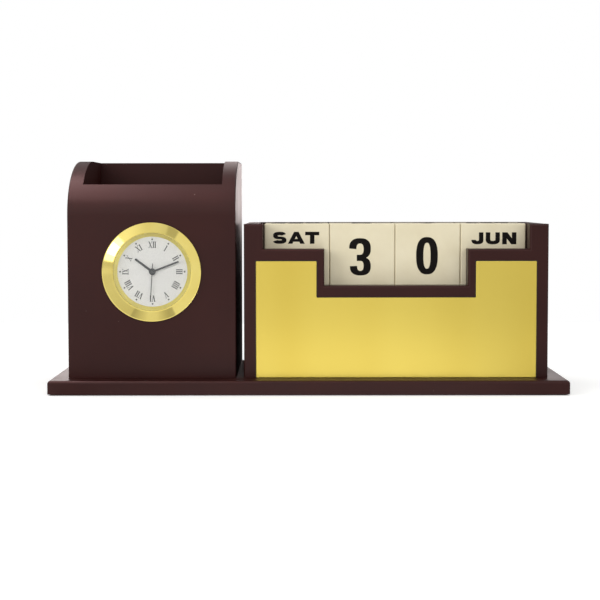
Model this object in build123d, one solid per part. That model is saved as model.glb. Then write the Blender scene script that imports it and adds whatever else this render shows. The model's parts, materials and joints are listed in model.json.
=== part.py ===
"""Desk organizer with a pen box, an insert clock and a cube calendar on one base board.

Frame: millimetres, origin at the bottom centre of the base, +X right, +Y back, +Z up.
The front faces -Y.
"""
from build123d import *
import math
import os

# Base board and feet
BASE_THICK = 4.95
BASE_TOP_ROUND = 1.1
BASE_CORNER_ROUND = 0.5
FOOT_RADIUS = 5.0
FOOT_THICK = 0.45
FOOT_INSET = 9.5
FRONT_SETBACK = 10.5
REAR_MARGIN = 1.0
BOX_GAP = 3.0

# Pen box
PEN_MARGIN = 6.3
PEN_WIDTH = 61.9
PEN_DEPTH = 65.5
PEN_HEIGHT = 80.5
PEN_SIDE = 5.2
PEN_FRONT = 6.0
PEN_BACK = 5.2
CURVE_RUN = 36.0
CURVE_DROP = 20.5
EDGE_ROUND = 0.6

# Calendar box
CAL_MARGIN = 6.6
CAL_WIDTH = 112.2
CAL_DEPTH = 56.0
CAL_HEIGHT = 56.7
CAL_FRONT = 8.0
CAL_END = 5.0
CAL_BACK = 5.5
STILE = 7.05
SIDE_SILL = 47.5
CENTRE_SILL = 34.0
CENTRE_WINDOW = 52.9
WINDOW_ROUND = 0.8
SHELF_TOP = 32.5
SHELF_THICK = 5.0
CLEAT = 6.0
DIVIDER_THICK = 4.0
DIVIDER_DROP = 4.0

# Calendar cubes
CUBE = 24.25
CUBE_GAP = 0.15
CUBE_PLAY = 0.7
CUBE_ROUND = 0.5

# Brass plate
PLATE_THICK = 0.6
PLATE_MARGIN = 4.45
PLATE_LIFT = 0.1
PLATE_TOP = 43.05
PLATE_NOTCH_SILL = 29.65
PLATE_NOTCH_RIM = 2.9
PLATE_CORNER = 0.35
PLATE_BEVEL = 0.2

# Screws up through the base
SCREW_RADIUS = 1.3
SCREW_HEAD_RADIUS = 2.7
SCREW_HEAD_DEEP = 1.6
SCREW_REACH = 9.0
SCREW_TIP = 2.0
SCREW_SLOT = 0.7
SCREW_SLOT_DEEP = 0.6
PEN_SCREW_PITCH = 36.0
CAL_SCREW_PITCH = 76.0

# Insert clock: depths run back from the boxes' front plane, so in front of it they are negative
CLOCK_HEIGHT = 39.1
BEZEL_RADIUS = 18.27
BEZEL_RIM = 1.1
RIM_BEVEL = 0.25
LIP_OUTER = 14.75
LIP_INNER = 14.4
LIP_DEPTH = 1.5
LIP_THICK = 0.25
SHOULDER_DEPTH = 1.0
LENS_RADIUS = 14.9
LENS_THICK = 0.5
DIAL_VIEW = 12.95
DIAL_RING_TOP = 14.35
DIAL_DEPTH = 3.4
DIAL_THICK = 0.3
DIAL_HOLE = 1.1
CASE_RADIUS = 17.1
CASE_WALL = 0.6
CASE_STEP = 0.6
CASE_BACK = 0.7
GRIP_THICK = 0.3
GRIP_START = 1.2
GRIP_LONG = 4.0
HOLE_CLEAR = 0.05
SPACER_WIDTH = 2.3
PLATE_SEAT = 0.1

# Clock movement: layers from the front to the back
MOTION_FRONT = 3.9
WHEEL_THICK = 0.3
LAYER_GAP = 0.3
HOUR_WHEEL_THICK = 0.4
MAIN_PLATE_FRONT = 5.0
MAIN_PLATE_THICK = 0.6
BRIDGE_FRONT = 8.1
BRIDGE_THICK = 0.4
BRIDGE_RADIUS = 14.6
BRIDGE_LOW = -4.6
PIVOT_CLEAR = 0.1
ARBOR = 0.3
SECOND_ARBOR = 0.3
MINUTE_TUBE = 0.6
MINUTE_BORE = 0.4
HOUR_TUBE = 0.95
HOUR_BORE = 0.72
TOOTH_WHEEL = 0.42
TOOTH_PINION = 0.36
TOOTH_RISE = 0.85
TOOTH_FALL = 1.25
TOOTH_ROOT = 0.62
TOOTH_TIP = 0.24

# Gear train: teeth, shaft distances and the directions of the shafts in degrees
CENTRE_TEETH = 64
THIRD_PINION = 8
THIRD_TEETH = 60
SECOND_PINION = 8
SECOND_TEETH = 60
FIFTH_PINION = 12
FIFTH_TEETH = 60
ROTOR_PINION = 10
CANNON_PINION = 12
MOTION_TEETH = 36
MOTION_PINION = 10
HOUR_TEETH = 40
SET_PINION = 12
THIRD_DISTANCE = 5.6
THIRD_ANGLE = 60.0
FIFTH_DISTANCE = 5.7
FIFTH_ANGLE = 150.0
ROTOR_DISTANCE = 4.9
ROTOR_ANGLE = 205.0
MOTION_DISTANCE = 5.2
MOTION_ANGLE = -30.0
SET_ANGLE = 10.0

# Motor, electronics and battery
ROTOR_RADIUS = 2.2
ROTOR_FRONT = 6.0
ROTOR_THICK = 1.2
STATOR_BORE = 2.5
STATOR_RADIUS = 3.9
STATOR_FRONT = 6.3
STATOR_THICK = 0.4
STATOR_BAR = 1.0
COIL_MIDDLE = (-9.6, -5.95)
COIL_ANGLE = -48.5
COIL_LENGTH = 5.5
COIL_RADIUS = 1.05
CORE_LENGTH = 10.75
CORE_WIDTH = 1.2
CORE_THICK = 0.4
STATOR_ELBOW = (-5.2, -5.4)
POST_RADIUS = 0.7
BOARD_MIDDLE = (0.0, 12.25)
BOARD_WIDTH = 10.0
BOARD_HEIGHT = 3.5
BOARD_THICK = 0.6
CRYSTAL_RADIUS = 0.7
CRYSTAL_LENGTH = 5.0
CELL_MIDDLE = (0.0, -10.2)
CELL_RADIUS = 4.75
CELL_THICK = 2.7
HATCH_RADIUS = 5.0
HATCH_CLEAR = 0.15
HATCH_BOSS = 3.0
COIN_SLOT = 1.0
COIN_SLOT_LONG = 7.5
COIN_SLOT_DEEP = 0.35
KNOB_RADIUS = 2.6
KNOB_THICK = 1.8
KNOB_GAP = 0.25
KNOB_RIBS = 24
KNOB_RIB_DEEP = 0.16
STEM_RADIUS = 0.6
PILLARS = ((10.5, 6.5), (-9.5, 7.5), (12.1, -3.0))
PILLAR_RADIUS = 1.0
BRIDGE_SCREW = 0.45
BRIDGE_SCREW_HEAD = 0.8
BRIDGE_SCREW_HEAD_THICK = 0.25
BRIDGE_SCREW_REACH = 1.5

# Hands: angles clockwise from twelve in degrees
HOUR_ANGLE = 306.5
MINUTE_ANGLE = 69.0
SECOND_ANGLE = 183.7
HOUR_LENGTH = 7.85
MINUTE_LENGTH = 10.45
SECOND_LENGTH = 11.05
SECOND_TAIL = 3.05
HOUR_WIDTH = 0.88
MINUTE_WIDTH = 0.66
SECOND_WIDTH = 0.3
HOUR_HUB = 1.25
MINUTE_HUB = 1.2
SECOND_HUB = 1.15
HOUR_HAND_FRONT = 3.0
MINUTE_HAND_FRONT = 2.7
SECOND_HAND_FRONT = 2.4
HAND_THICK = 0.15
HAND_TIP_SHARE = 0.86

# Distance within which an edge counts as lying on a face
NEAR = 0.01

# Places worked out from the sizes above
BASE_Z = FOOT_THICK
TOP = BASE_Z + BASE_THICK
BASE_WIDTH = PEN_MARGIN + PEN_WIDTH + BOX_GAP + CAL_WIDTH + CAL_MARGIN
BASE_DEPTH = FRONT_SETBACK + PEN_DEPTH + REAR_MARGIN
FACE_Y = -BASE_DEPTH / 2 + FRONT_SETBACK
PEN_LEFT = -BASE_WIDTH / 2 + PEN_MARGIN
PEN_RIGHT = PEN_LEFT + PEN_WIDTH
PEN_MID = (PEN_LEFT + PEN_RIGHT) / 2
CAL_LEFT = PEN_RIGHT + BOX_GAP
CAL_RIGHT = CAL_LEFT + CAL_WIDTH
CAL_MID = (CAL_LEFT + CAL_RIGHT) / 2
CLOCK_Z = TOP + CLOCK_HEIGHT
HOLE_RADIUS = CASE_RADIUS + GRIP_THICK + HOLE_CLEAR
TROUGH_FRONT = FACE_Y + CAL_FRONT
DIVIDER_FRONT = TROUGH_FRONT + CUBE + CUBE_PLAY
CAL_BACK_FRONT = FACE_Y + CAL_DEPTH - CAL_BACK
LENS_FRONT = LIP_DEPTH + LIP_THICK
LENS_BACK = LENS_FRONT + LENS_THICK
MAIN_PLATE_BACK = MAIN_PLATE_FRONT + MAIN_PLATE_THICK
CELL_BACK = MAIN_PLATE_BACK + CELL_THICK
BRIDGE_BACK = BRIDGE_FRONT + BRIDGE_THICK
CASE_BACK_FRONT = BRIDGE_BACK + BRIDGE_SCREW_HEAD_THICK + PIVOT_CLEAR
CASE_DEPTH = CASE_BACK_FRONT + CASE_BACK
CASE_BORE = CASE_RADIUS - CASE_WALL
PLATE_RADIUS = CASE_BORE - PLATE_SEAT
CANNON_LAYER = MOTION_FRONT + HOUR_WHEEL_THICK + LAYER_GAP / 2
CENTRE_LAYER = MAIN_PLATE_BACK + LAYER_GAP
THIRD_LAYER = CENTRE_LAYER + WHEEL_THICK + LAYER_GAP
SECOND_LAYER = THIRD_LAYER + WHEEL_THICK + LAYER_GAP
FIFTH_LAYER = SECOND_LAYER + WHEEL_THICK + LAYER_GAP


def polar(distance, degrees, start=(0.0, 0.0)):
    """Point on the clock face, seen from the front, at a distance and direction from a start."""
    angle = math.radians(degrees)
    return (start[0] + distance * math.cos(angle), start[1] + distance * math.sin(angle))


CENTRE = (0.0, 0.0)
THIRD_PLACE = polar(THIRD_DISTANCE, THIRD_ANGLE)
FIFTH_PLACE = polar(FIFTH_DISTANCE, FIFTH_ANGLE)
ROTOR_PLACE = polar(ROTOR_DISTANCE, ROTOR_ANGLE, FIFTH_PLACE)
MOTION_PLACE = polar(MOTION_DISTANCE, MOTION_ANGLE)
MOTION_MODULE = 2 * MOTION_DISTANCE / (CANNON_PINION + MOTION_TEETH)
SET_DISTANCE = MOTION_MODULE * (MOTION_TEETH + SET_PINION) / 2
SET_PLACE = polar(SET_DISTANCE, SET_ANGLE, MOTION_PLACE)


def block(x0, x1, y0, y1, z0, z1):
    """Box between two corners."""
    middle = ((x0 + x1) / 2, (y0 + y1) / 2, (z0 + z1) / 2)
    return Pos(*middle) * Box(x1 - x0, y1 - y0, z1 - z0)


def face_plane(depth, place=CENTRE):
    """Plane across the clock's axis, looking out to the front, at a depth behind the front plane."""
    origin = (PEN_MID + place[0], FACE_Y + depth, CLOCK_Z + place[1])
    return Plane(origin=origin, x_dir=(1, 0, 0), z_dir=(0, -1, 0))


def plate(sketch, front, back, place=CENTRE):
    """A flat piece of the clock from its front depth to its back depth."""
    return extrude(face_plane(back, place) * sketch, back - front)


def disc(radius, front, back, place=CENTRE):
    """A round piece of the clock."""
    return plate(Circle(radius), front, back, place)


def ring(outer, inner, front, back, place=CENTRE):
    """A round piece of the clock with a bore."""
    return plate(Circle(outer) - Circle(inner), front, back, place)


def turned(points):
    """A turned ring of the clock from its half section of radii and depths."""
    section = [(PEN_MID + radius, FACE_Y + depth, CLOCK_Z) for radius, depth in points]
    face = make_face(Polyline(*section, close=True))
    axis = Axis((PEN_MID, FACE_Y, CLOCK_Z), (0, 1, 0))
    return revolve(face, axis, 360)


def outline(points):
    """Flat face from its corner points."""
    return make_face(Polyline(*points, close=True))


def gear(teeth, module, share, tooth_at):
    """Flat gear face. A tooth takes this share of the pitch, and one points in the given direction."""
    pitch_radius = module * teeth / 2
    tip = pitch_radius + TOOTH_RISE * module
    root = pitch_radius - TOOTH_FALL * module
    step = 360.0 / teeth
    corners = []
    for tooth in range(teeth):
        middle = tooth_at + tooth * step
        corners.append(polar(root, middle - TOOTH_ROOT * share * step))
        corners.append(polar(tip, middle - TOOTH_TIP * share * step))
        corners.append(polar(tip, middle + TOOTH_TIP * share * step))
        corners.append(polar(root, middle + TOOTH_ROOT * share * step))
    return outline(corners)


def gap_at(degrees, teeth):
    """Direction of a tooth on a gear that has a gap in the given direction."""
    return degrees + 180.0 / teeth


def hand(angle, length, width, tail, hub, bore, front):
    """A baton hand, narrowing to its tip, with a round hub. A bore lets its tube through."""
    along = 90.0 - angle
    root = polar(-tail, along)
    tip = polar(length, along)
    half = width / 2
    corners = [
        polar(half, along + 90, root),
        polar(half * HAND_TIP_SHARE, along + 90, tip),
        polar(half * HAND_TIP_SHARE, along - 90, tip),
        polar(half, along - 90, root),
    ]
    flat = outline(corners) + Circle(hub)
    if bore:
        flat = flat - Circle(bore)
    return plate(flat, front, front + HAND_THICK)


# Base board, feet and screws
SCREW_PLACES = [
    (PEN_MID - PEN_SCREW_PITCH / 2, FACE_Y + PEN_FRONT / 2),
    (PEN_MID + PEN_SCREW_PITCH / 2, FACE_Y + PEN_FRONT / 2),
    (PEN_MID - PEN_SCREW_PITCH / 2, FACE_Y + PEN_DEPTH - PEN_BACK / 2),
    (PEN_MID + PEN_SCREW_PITCH / 2, FACE_Y + PEN_DEPTH - PEN_BACK / 2),
    (CAL_MID - CAL_SCREW_PITCH / 2, FACE_Y + CAL_FRONT / 2),
    (CAL_MID + CAL_SCREW_PITCH / 2, FACE_Y + CAL_FRONT / 2),
    (CAL_MID - CAL_SCREW_PITCH / 2, FACE_Y + CAL_DEPTH - CAL_BACK / 2),
    (CAL_MID + CAL_SCREW_PITCH / 2, FACE_Y + CAL_DEPTH - CAL_BACK / 2),
]


def screw_at(place, grow=0.0, slotted=True):
    """Countersunk screw from the underside of the base. It can be grown to cut its hole."""
    x, y = place
    shank_top = TOP + SCREW_REACH - SCREW_TIP
    profile = [
        (x, y, BASE_Z),
        (x + SCREW_HEAD_RADIUS + grow, y, BASE_Z),
        (x + SCREW_RADIUS + grow, y, BASE_Z + SCREW_HEAD_DEEP),
        (x + SCREW_RADIUS + grow, y, shank_top),
        (x, y, shank_top + SCREW_TIP),
    ]
    solid = revolve(make_face(Polyline(*profile, close=True)), Axis((x, y, 0), (0, 0, 1)), 360)
    if slotted:
        half = SCREW_HEAD_RADIUS + grow
        slot = block(
            x - half, x + half, y - SCREW_SLOT / 2, y + SCREW_SLOT / 2, BASE_Z, BASE_Z + SCREW_SLOT_DEEP
        )
        solid = solid - slot
    return solid


def make_base():
    """Base board with rounded top edges and countersunk holes."""
    half_x = BASE_WIDTH / 2
    half_y = BASE_DEPTH / 2
    board = block(-half_x, half_x, -half_y, half_y, BASE_Z, TOP)
    board = fillet(board.edges().filter_by(Axis.Z), BASE_CORNER_ROUND)
    board = fillet(board.edges().group_by(Axis.Z)[-1], BASE_TOP_ROUND)
    for place in SCREW_PLACES:
        board = board - screw_at(place, slotted=False)
    return board


def make_feet():
    """Four low round feet under the corners."""
    feet = []
    for side in (-1, 1):
        for end in (-1, 1):
            x = side * (BASE_WIDTH / 2 - FOOT_INSET)
            y = end * (BASE_DEPTH / 2 - FOOT_INSET)
            feet.append(Pos(x, y, FOOT_THICK / 2) * Cylinder(FOOT_RADIUS, FOOT_THICK))
    return feet


def cut_screws(panel):
    """Pilot holes that the screws fill."""
    for place in SCREW_PLACES:
        panel = panel - screw_at(place, slotted=False)
    return panel


# Pen box


def pen_profile(depth_limit):
    """Side view of the pen box: upright front, quarter ellipse over to the flat top."""
    top = TOP + PEN_HEIGHT
    start = Vector(FACE_Y, top - CURVE_DROP)
    crest = Vector(FACE_Y + CURVE_RUN, top)
    back = FACE_Y + PEN_DEPTH
    sweep = EllipticalCenterArc(
        (FACE_Y + CURVE_RUN, top - CURVE_DROP), CURVE_RUN, CURVE_DROP, start_angle=90, arc_size=90
    )
    rest = Polyline(crest, (back, top), (back, TOP), (FACE_Y, TOP), start)
    face = make_face([sweep, rest])
    window = Pos(FACE_Y + depth_limit / 2, TOP + PEN_HEIGHT / 2) * Rectangle(depth_limit, 2 * PEN_HEIGHT)
    return face & window


def make_pen_side(x0, x1, outer_x):
    """Side of the pen box with its outer edges eased."""
    board = extrude(Plane.YZ.offset(x0) * pen_profile(2 * PEN_DEPTH), x1 - x0)
    outer = board.faces().sort_by_distance((outer_x, FACE_Y + PEN_DEPTH / 2, TOP + PEN_HEIGHT / 2))[0]
    eased = [edge for edge in outer.edges() if edge.center().Z > TOP + NEAR]
    return fillet(eased, EDGE_ROUND)


def make_pen_front():
    """Front of the pen box between the sides, with the hole for the clock."""
    left = PEN_LEFT + PEN_SIDE
    board = extrude(Plane.YZ.offset(left) * pen_profile(PEN_FRONT), PEN_WIDTH - 2 * PEN_SIDE)
    board = board - disc(HOLE_RADIUS, -PEN_FRONT, 2 * PEN_FRONT)
    return cut_screws(board)


def make_pen_back():
    """Back of the pen box between the sides."""
    back = FACE_Y + PEN_DEPTH
    board = block(
        PEN_LEFT + PEN_SIDE, PEN_RIGHT - PEN_SIDE, back - PEN_BACK, back, TOP, TOP + PEN_HEIGHT
    )
    return cut_screws(board)


# Calendar box


def make_calendar_front():
    """Front panel with a wide shallow window and a deeper one in the middle."""
    top = TOP + CAL_HEIGHT
    side = TOP + SIDE_SILL
    centre = TOP + CENTRE_SILL
    half = CENTRE_WINDOW / 2
    corners = [
        (CAL_LEFT, TOP),
        (CAL_LEFT, top),
        (CAL_LEFT + STILE, top),
        (CAL_LEFT + STILE, side),
        (CAL_MID - half, side),
        (CAL_MID - half, centre),
        (CAL_MID + half, centre),
        (CAL_MID + half, side),
        (CAL_RIGHT - STILE, side),
        (CAL_RIGHT - STILE, top),
        (CAL_RIGHT, top),
        (CAL_RIGHT, TOP),
    ]
    front = Plane(origin=(0, FACE_Y, 0), x_dir=(1, 0, 0), z_dir=(0, -1, 0))
    panel = extrude(front * outline(corners), -CAL_FRONT)
    face_edges = panel.edges().filter_by_position(Axis.Y, FACE_Y - NEAR, FACE_Y + NEAR)
    eased = [edge for edge in face_edges if edge.center().Z > TOP + NEAR]
    panel = fillet(eased, WINDOW_ROUND)
    return cut_screws(panel)


def make_calendar_end(x0, x1, outer_x):
    """End wall behind the front panel with its outer top edge eased."""
    wall = block(x0, x1, TROUGH_FRONT, FACE_Y + CAL_DEPTH, TOP, TOP + CAL_HEIGHT)
    outer = wall.faces().sort_by_distance((outer_x, 0, TOP + CAL_HEIGHT / 2))[0]
    upper = outer.edges().sort_by(Axis.Z)[-1]
    return fillet(upper, EDGE_ROUND)


def make_calendar_back():
    """Back panel between the end walls."""
    panel = block(
        CAL_LEFT + CAL_END, CAL_RIGHT - CAL_END, CAL_BACK_FRONT, FACE_Y + CAL_DEPTH, TOP, TOP + CAL_HEIGHT
    )
    return cut_screws(panel)


def make_shelf():
    """Shelf that the cubes and the cards stand on."""
    return block(
        CAL_LEFT + CAL_END,
        CAL_RIGHT - CAL_END,
        TROUGH_FRONT,
        CAL_BACK_FRONT,
        TOP + SHELF_TOP - SHELF_THICK,
        TOP + SHELF_TOP,
    )


def make_cleats():
    """Two strips on the end walls that carry the shelf."""
    low = TOP + SHELF_TOP - SHELF_THICK - CLEAT
    left = CAL_LEFT + CAL_END
    right = CAL_RIGHT - CAL_END
    strips = []
    for x in (left, right - CLEAT):
        strips.append(block(x, x + CLEAT, TROUGH_FRONT, CAL_BACK_FRONT, low, low + CLEAT))
    return strips


def make_divider():
    """Board on the shelf between the cubes and the card slot."""
    return block(
        CAL_LEFT + CAL_END,
        CAL_RIGHT - CAL_END,
        DIVIDER_FRONT,
        DIVIDER_FRONT + DIVIDER_THICK,
        TOP + SHELF_TOP,
        TOP + CAL_HEIGHT - DIVIDER_DROP,
    )


def make_brass_plate():
    """Thin stepped plate stuck on the front panel, with its front edges bevelled."""
    left = CAL_LEFT + PLATE_MARGIN
    right = CAL_RIGHT - PLATE_MARGIN
    low = TOP + PLATE_LIFT
    top = TOP + PLATE_TOP
    sill = TOP + PLATE_NOTCH_SILL
    half = CENTRE_WINDOW / 2 + PLATE_NOTCH_RIM
    corners = [
        (left, low),
        (left, top),
        (CAL_MID - half, top),
        (CAL_MID - half, sill),
        (CAL_MID + half, sill),
        (CAL_MID + half, top),
        (right, top),
        (right, low),
    ]
    front = Plane(origin=(0, FACE_Y, 0), x_dir=(1, 0, 0), z_dir=(0, -1, 0))
    sheet = extrude(front * outline(corners), PLATE_THICK)
    sheet = fillet(sheet.edges().filter_by(Axis.Y), PLATE_CORNER)
    face_y = FACE_Y - PLATE_THICK
    rim = sheet.edges().filter_by_position(Axis.Y, face_y - NEAR, face_y + NEAR)
    return chamfer(rim, PLATE_BEVEL)


def make_cube(index):
    """One calendar cube, counted from the left, standing on the shelf."""
    pitch = CUBE + CUBE_GAP
    x = CAL_MID + (index - 1.5) * pitch
    y = TROUGH_FRONT + CUBE_PLAY / 2 + CUBE / 2
    z = TOP + SHELF_TOP + CUBE / 2
    cube = Pos(x, y, z) * Box(CUBE, CUBE, CUBE)
    return fillet(cube.edges(), CUBE_ROUND)


# Insert clock: casing


def make_bezel():
    """Polished ring that slopes in from its rim to the lens, with a skirt behind it in the case's bore."""
    return turned(
        [
            (BEZEL_RADIUS, 0.0),
            (BEZEL_RADIUS, RIM_BEVEL - BEZEL_RIM),
            (BEZEL_RADIUS - RIM_BEVEL, -BEZEL_RIM),
            (LIP_OUTER, LIP_DEPTH),
            (LIP_INNER, LIP_DEPTH),
            (LIP_INNER, LENS_FRONT),
            (LENS_RADIUS, LENS_FRONT),
            (LENS_RADIUS, LENS_BACK),
            (PLATE_RADIUS, LENS_BACK),
            (PLATE_RADIUS, SHOULDER_DEPTH),
            (CASE_RADIUS, SHOULDER_DEPTH),
            (CASE_RADIUS, 0.0),
        ]
    )


def make_lens():
    """Flat clear lens behind the bezel's lip."""
    return disc(LENS_RADIUS, LENS_FRONT, LENS_BACK)


def make_dial_ring():
    """Sloped ring from the lens down to the dial."""
    return turned(
        [
            (PLATE_RADIUS, LENS_BACK),
            (DIAL_RING_TOP, LENS_BACK),
            (DIAL_VIEW, DIAL_DEPTH),
            (PLATE_RADIUS, DIAL_DEPTH),
        ]
    )


def make_dial():
    """Dial disc with a hole for the hands' tubes."""
    return ring(PLATE_RADIUS, DIAL_HOLE, DIAL_DEPTH, DIAL_DEPTH + DIAL_THICK)


def make_dial_spacer():
    """Ring between the dial and the movement's main plate."""
    return ring(PLATE_RADIUS, PLATE_RADIUS - SPACER_WIDTH, DIAL_DEPTH + DIAL_THICK, MAIN_PLATE_FRONT)


def make_case():
    """Cup behind the bezel with a ledge for the main plate and holes in its back."""
    step = CASE_BORE - CASE_STEP
    cup = disc(CASE_RADIUS, SHOULDER_DEPTH, CASE_DEPTH)
    cup = cup - disc(CASE_BORE, SHOULDER_DEPTH, MAIN_PLATE_BACK)
    cup = cup - disc(step, MAIN_PLATE_BACK, CASE_BACK_FRONT)
    cup = cup - disc(HATCH_RADIUS + HATCH_CLEAR, CASE_BACK_FRONT, CASE_DEPTH, CELL_MIDDLE)
    return cup - disc(STEM_RADIUS + PIVOT_CLEAR, CASE_BACK_FRONT, CASE_DEPTH, SET_PLACE)


def make_grip_ring():
    """Sleeve that grips the hole in the pen box's front."""
    return ring(CASE_RADIUS + GRIP_THICK, CASE_RADIUS, GRIP_START, GRIP_START + GRIP_LONG)


def make_hatch():
    """Battery hatch with a coin slot and a boss that holds the cell down."""
    lid = disc(HATCH_RADIUS, CASE_BACK_FRONT, CASE_DEPTH, CELL_MIDDLE)
    lid = lid + disc(HATCH_BOSS, CELL_BACK, CASE_BACK_FRONT, CELL_MIDDLE)
    slot = plate(
        Rectangle(COIN_SLOT_LONG, COIN_SLOT), CASE_DEPTH - COIN_SLOT_DEEP, CASE_DEPTH, CELL_MIDDLE
    )
    return lid - slot


# Insert clock: movement


def make_main_plate():
    """Plate that carries the train, with pillars for the bridge and posts for the stator."""
    body = disc(PLATE_RADIUS, MAIN_PLATE_FRONT, MAIN_PLATE_BACK)
    for place in PILLARS:
        body = body + disc(PILLAR_RADIUS, MAIN_PLATE_BACK, BRIDGE_FRONT, place)
        body = body - disc(BRIDGE_SCREW, BRIDGE_FRONT - BRIDGE_SCREW_REACH, BRIDGE_FRONT, place)
    for place in coil_ends():
        body = body + disc(POST_RADIUS, MAIN_PLATE_BACK, STATOR_FRONT, place)
    bores = (
        (MINUTE_TUBE, CENTRE),
        (ARBOR, THIRD_PLACE),
        (ARBOR, FIFTH_PLACE),
        (ARBOR, ROTOR_PLACE),
        (ARBOR, MOTION_PLACE),
        (STEM_RADIUS, SET_PLACE),
    )
    for radius, place in bores:
        body = body - disc(radius + PIVOT_CLEAR, MAIN_PLATE_FRONT, MAIN_PLATE_BACK, place)
    return body


def make_bridge():
    """Rear plate of the train, cut away over the battery."""
    cut = Pos(0, BRIDGE_LOW - BRIDGE_RADIUS) * Rectangle(4 * BRIDGE_RADIUS, 2 * BRIDGE_RADIUS)
    body = plate(Circle(BRIDGE_RADIUS) - cut, BRIDGE_FRONT, BRIDGE_BACK)
    bores = (
        (SECOND_ARBOR, CENTRE),
        (ARBOR, THIRD_PLACE),
        (ARBOR, FIFTH_PLACE),
        (ARBOR, ROTOR_PLACE),
        (STEM_RADIUS, SET_PLACE),
    )
    for radius, place in bores:
        body = body - disc(radius + PIVOT_CLEAR, BRIDGE_FRONT, BRIDGE_BACK, place)
    for place in PILLARS:
        body = body - disc(BRIDGE_SCREW, BRIDGE_FRONT, BRIDGE_BACK, place)
    return body


def make_bridge_screws():
    """Small screws through the bridge into the pillars."""
    screws = []
    for place in PILLARS:
        shank = disc(BRIDGE_SCREW, BRIDGE_FRONT - BRIDGE_SCREW_REACH, BRIDGE_BACK, place)
        head = disc(BRIDGE_SCREW_HEAD, BRIDGE_BACK, BRIDGE_BACK + BRIDGE_SCREW_HEAD_THICK, place)
        screws.append(shank + head)
    return screws


def coil_ends():
    """Places of the two ends of the coil's core."""
    reach = CORE_LENGTH / 2 - CORE_WIDTH / 2
    return (polar(-reach, COIL_ANGLE, COIL_MIDDLE), polar(reach, COIL_ANGLE, COIL_MIDDLE))


def bar(start, end, width):
    """Flat bar with round ends between two places."""
    length = math.dist(start, end)
    degrees = math.degrees(math.atan2(end[1] - start[1], end[0] - start[0]))
    middle = ((start[0] + end[0]) / 2, (start[1] + end[1]) / 2)
    shape = Pos(*middle) * Rot(0, 0, degrees) * Rectangle(length, width)
    return shape + Pos(*start) * Circle(width / 2) + Pos(*end) * Circle(width / 2)


def make_stator():
    """Flat stator round the rotor with two legs to the coil's core."""
    first, last = coil_ends()
    shape = Pos(*ROTOR_PLACE) * Circle(STATOR_RADIUS)
    shape = shape + bar(ROTOR_PLACE, first, STATOR_BAR)
    shape = shape + bar(ROTOR_PLACE, STATOR_ELBOW, STATOR_BAR)
    shape = shape + bar(STATOR_ELBOW, last, STATOR_BAR)
    shape = shape - Pos(*ROTOR_PLACE) * Circle(STATOR_BORE)
    return plate(shape, STATOR_FRONT, STATOR_FRONT + STATOR_THICK)


def make_coil_core():
    """Iron bar on the stator's legs."""
    front = STATOR_FRONT + STATOR_THICK
    shape = Rot(0, 0, COIL_ANGLE) * Rectangle(CORE_LENGTH, CORE_WIDTH)
    return plate(shape, front, front + CORE_THICK, COIL_MIDDLE)


def make_coil():
    """Winding round the core."""
    middle = STATOR_FRONT + STATOR_THICK + CORE_THICK / 2
    angle = math.radians(COIL_ANGLE)
    along = Vector(math.cos(angle), 0, math.sin(angle))
    origin = Vector(PEN_MID + COIL_MIDDLE[0], FACE_Y + middle, CLOCK_Z + COIL_MIDDLE[1])
    start = Plane(origin=origin - along * (COIL_LENGTH / 2), x_dir=(0, 1, 0), z_dir=along)
    winding = extrude(start * (Circle(COIL_RADIUS) - Rectangle(CORE_THICK, CORE_WIDTH)), COIL_LENGTH)
    return winding


def make_board():
    """Circuit board on the main plate."""
    return plate(
        Rectangle(BOARD_WIDTH, BOARD_HEIGHT), MAIN_PLATE_BACK, MAIN_PLATE_BACK + BOARD_THICK, BOARD_MIDDLE
    )


def make_crystal():
    """Quartz crystal in its can, lying on the board."""
    y = FACE_Y + MAIN_PLATE_BACK + BOARD_THICK + CRYSTAL_RADIUS
    z = CLOCK_Z + BOARD_MIDDLE[1]
    return Pos(PEN_MID + BOARD_MIDDLE[0], y, z) * Rot(0, 90, 0) * Cylinder(CRYSTAL_RADIUS, CRYSTAL_LENGTH)


def make_cell():
    """Button cell on the main plate."""
    return disc(CELL_RADIUS, MAIN_PLATE_BACK, CELL_BACK, CELL_MIDDLE)


# Insert clock: wheels and hands


def make_seconds_wheel():
    """Seconds wheel and pinion on the centre arbor, which ends in the second hand's hub."""
    wheel_module = 2 * FIFTH_DISTANCE / (SECOND_TEETH + FIFTH_PINION)
    pinion_module = 2 * THIRD_DISTANCE / (SECOND_PINION + THIRD_TEETH)
    wheel = gear(SECOND_TEETH, wheel_module, TOOTH_WHEEL, FIFTH_ANGLE)
    pinion = gear(SECOND_PINION, pinion_module, TOOTH_PINION, gap_at(THIRD_ANGLE, SECOND_PINION))
    body = plate(wheel, SECOND_LAYER, SECOND_LAYER + WHEEL_THICK)
    body = body + plate(pinion, THIRD_LAYER, SECOND_LAYER)
    return body + disc(SECOND_ARBOR, SECOND_HAND_FRONT + HAND_THICK, BRIDGE_BACK)


def make_third_wheel():
    """Third wheel and pinion between the seconds arbor and the centre wheel."""
    wheel_module = 2 * THIRD_DISTANCE / (SECOND_PINION + THIRD_TEETH)
    pinion_module = 2 * THIRD_DISTANCE / (THIRD_PINION + CENTRE_TEETH)
    back_to_centre = THIRD_ANGLE + 180
    wheel = gear(THIRD_TEETH, wheel_module, TOOTH_WHEEL, back_to_centre)
    pinion = gear(THIRD_PINION, pinion_module, TOOTH_PINION, gap_at(back_to_centre, THIRD_PINION))
    body = plate(wheel, THIRD_LAYER, THIRD_LAYER + WHEEL_THICK, THIRD_PLACE)
    body = body + plate(pinion, CENTRE_LAYER, THIRD_LAYER, THIRD_PLACE)
    return body + disc(ARBOR, MAIN_PLATE_FRONT, BRIDGE_BACK, THIRD_PLACE)


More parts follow.
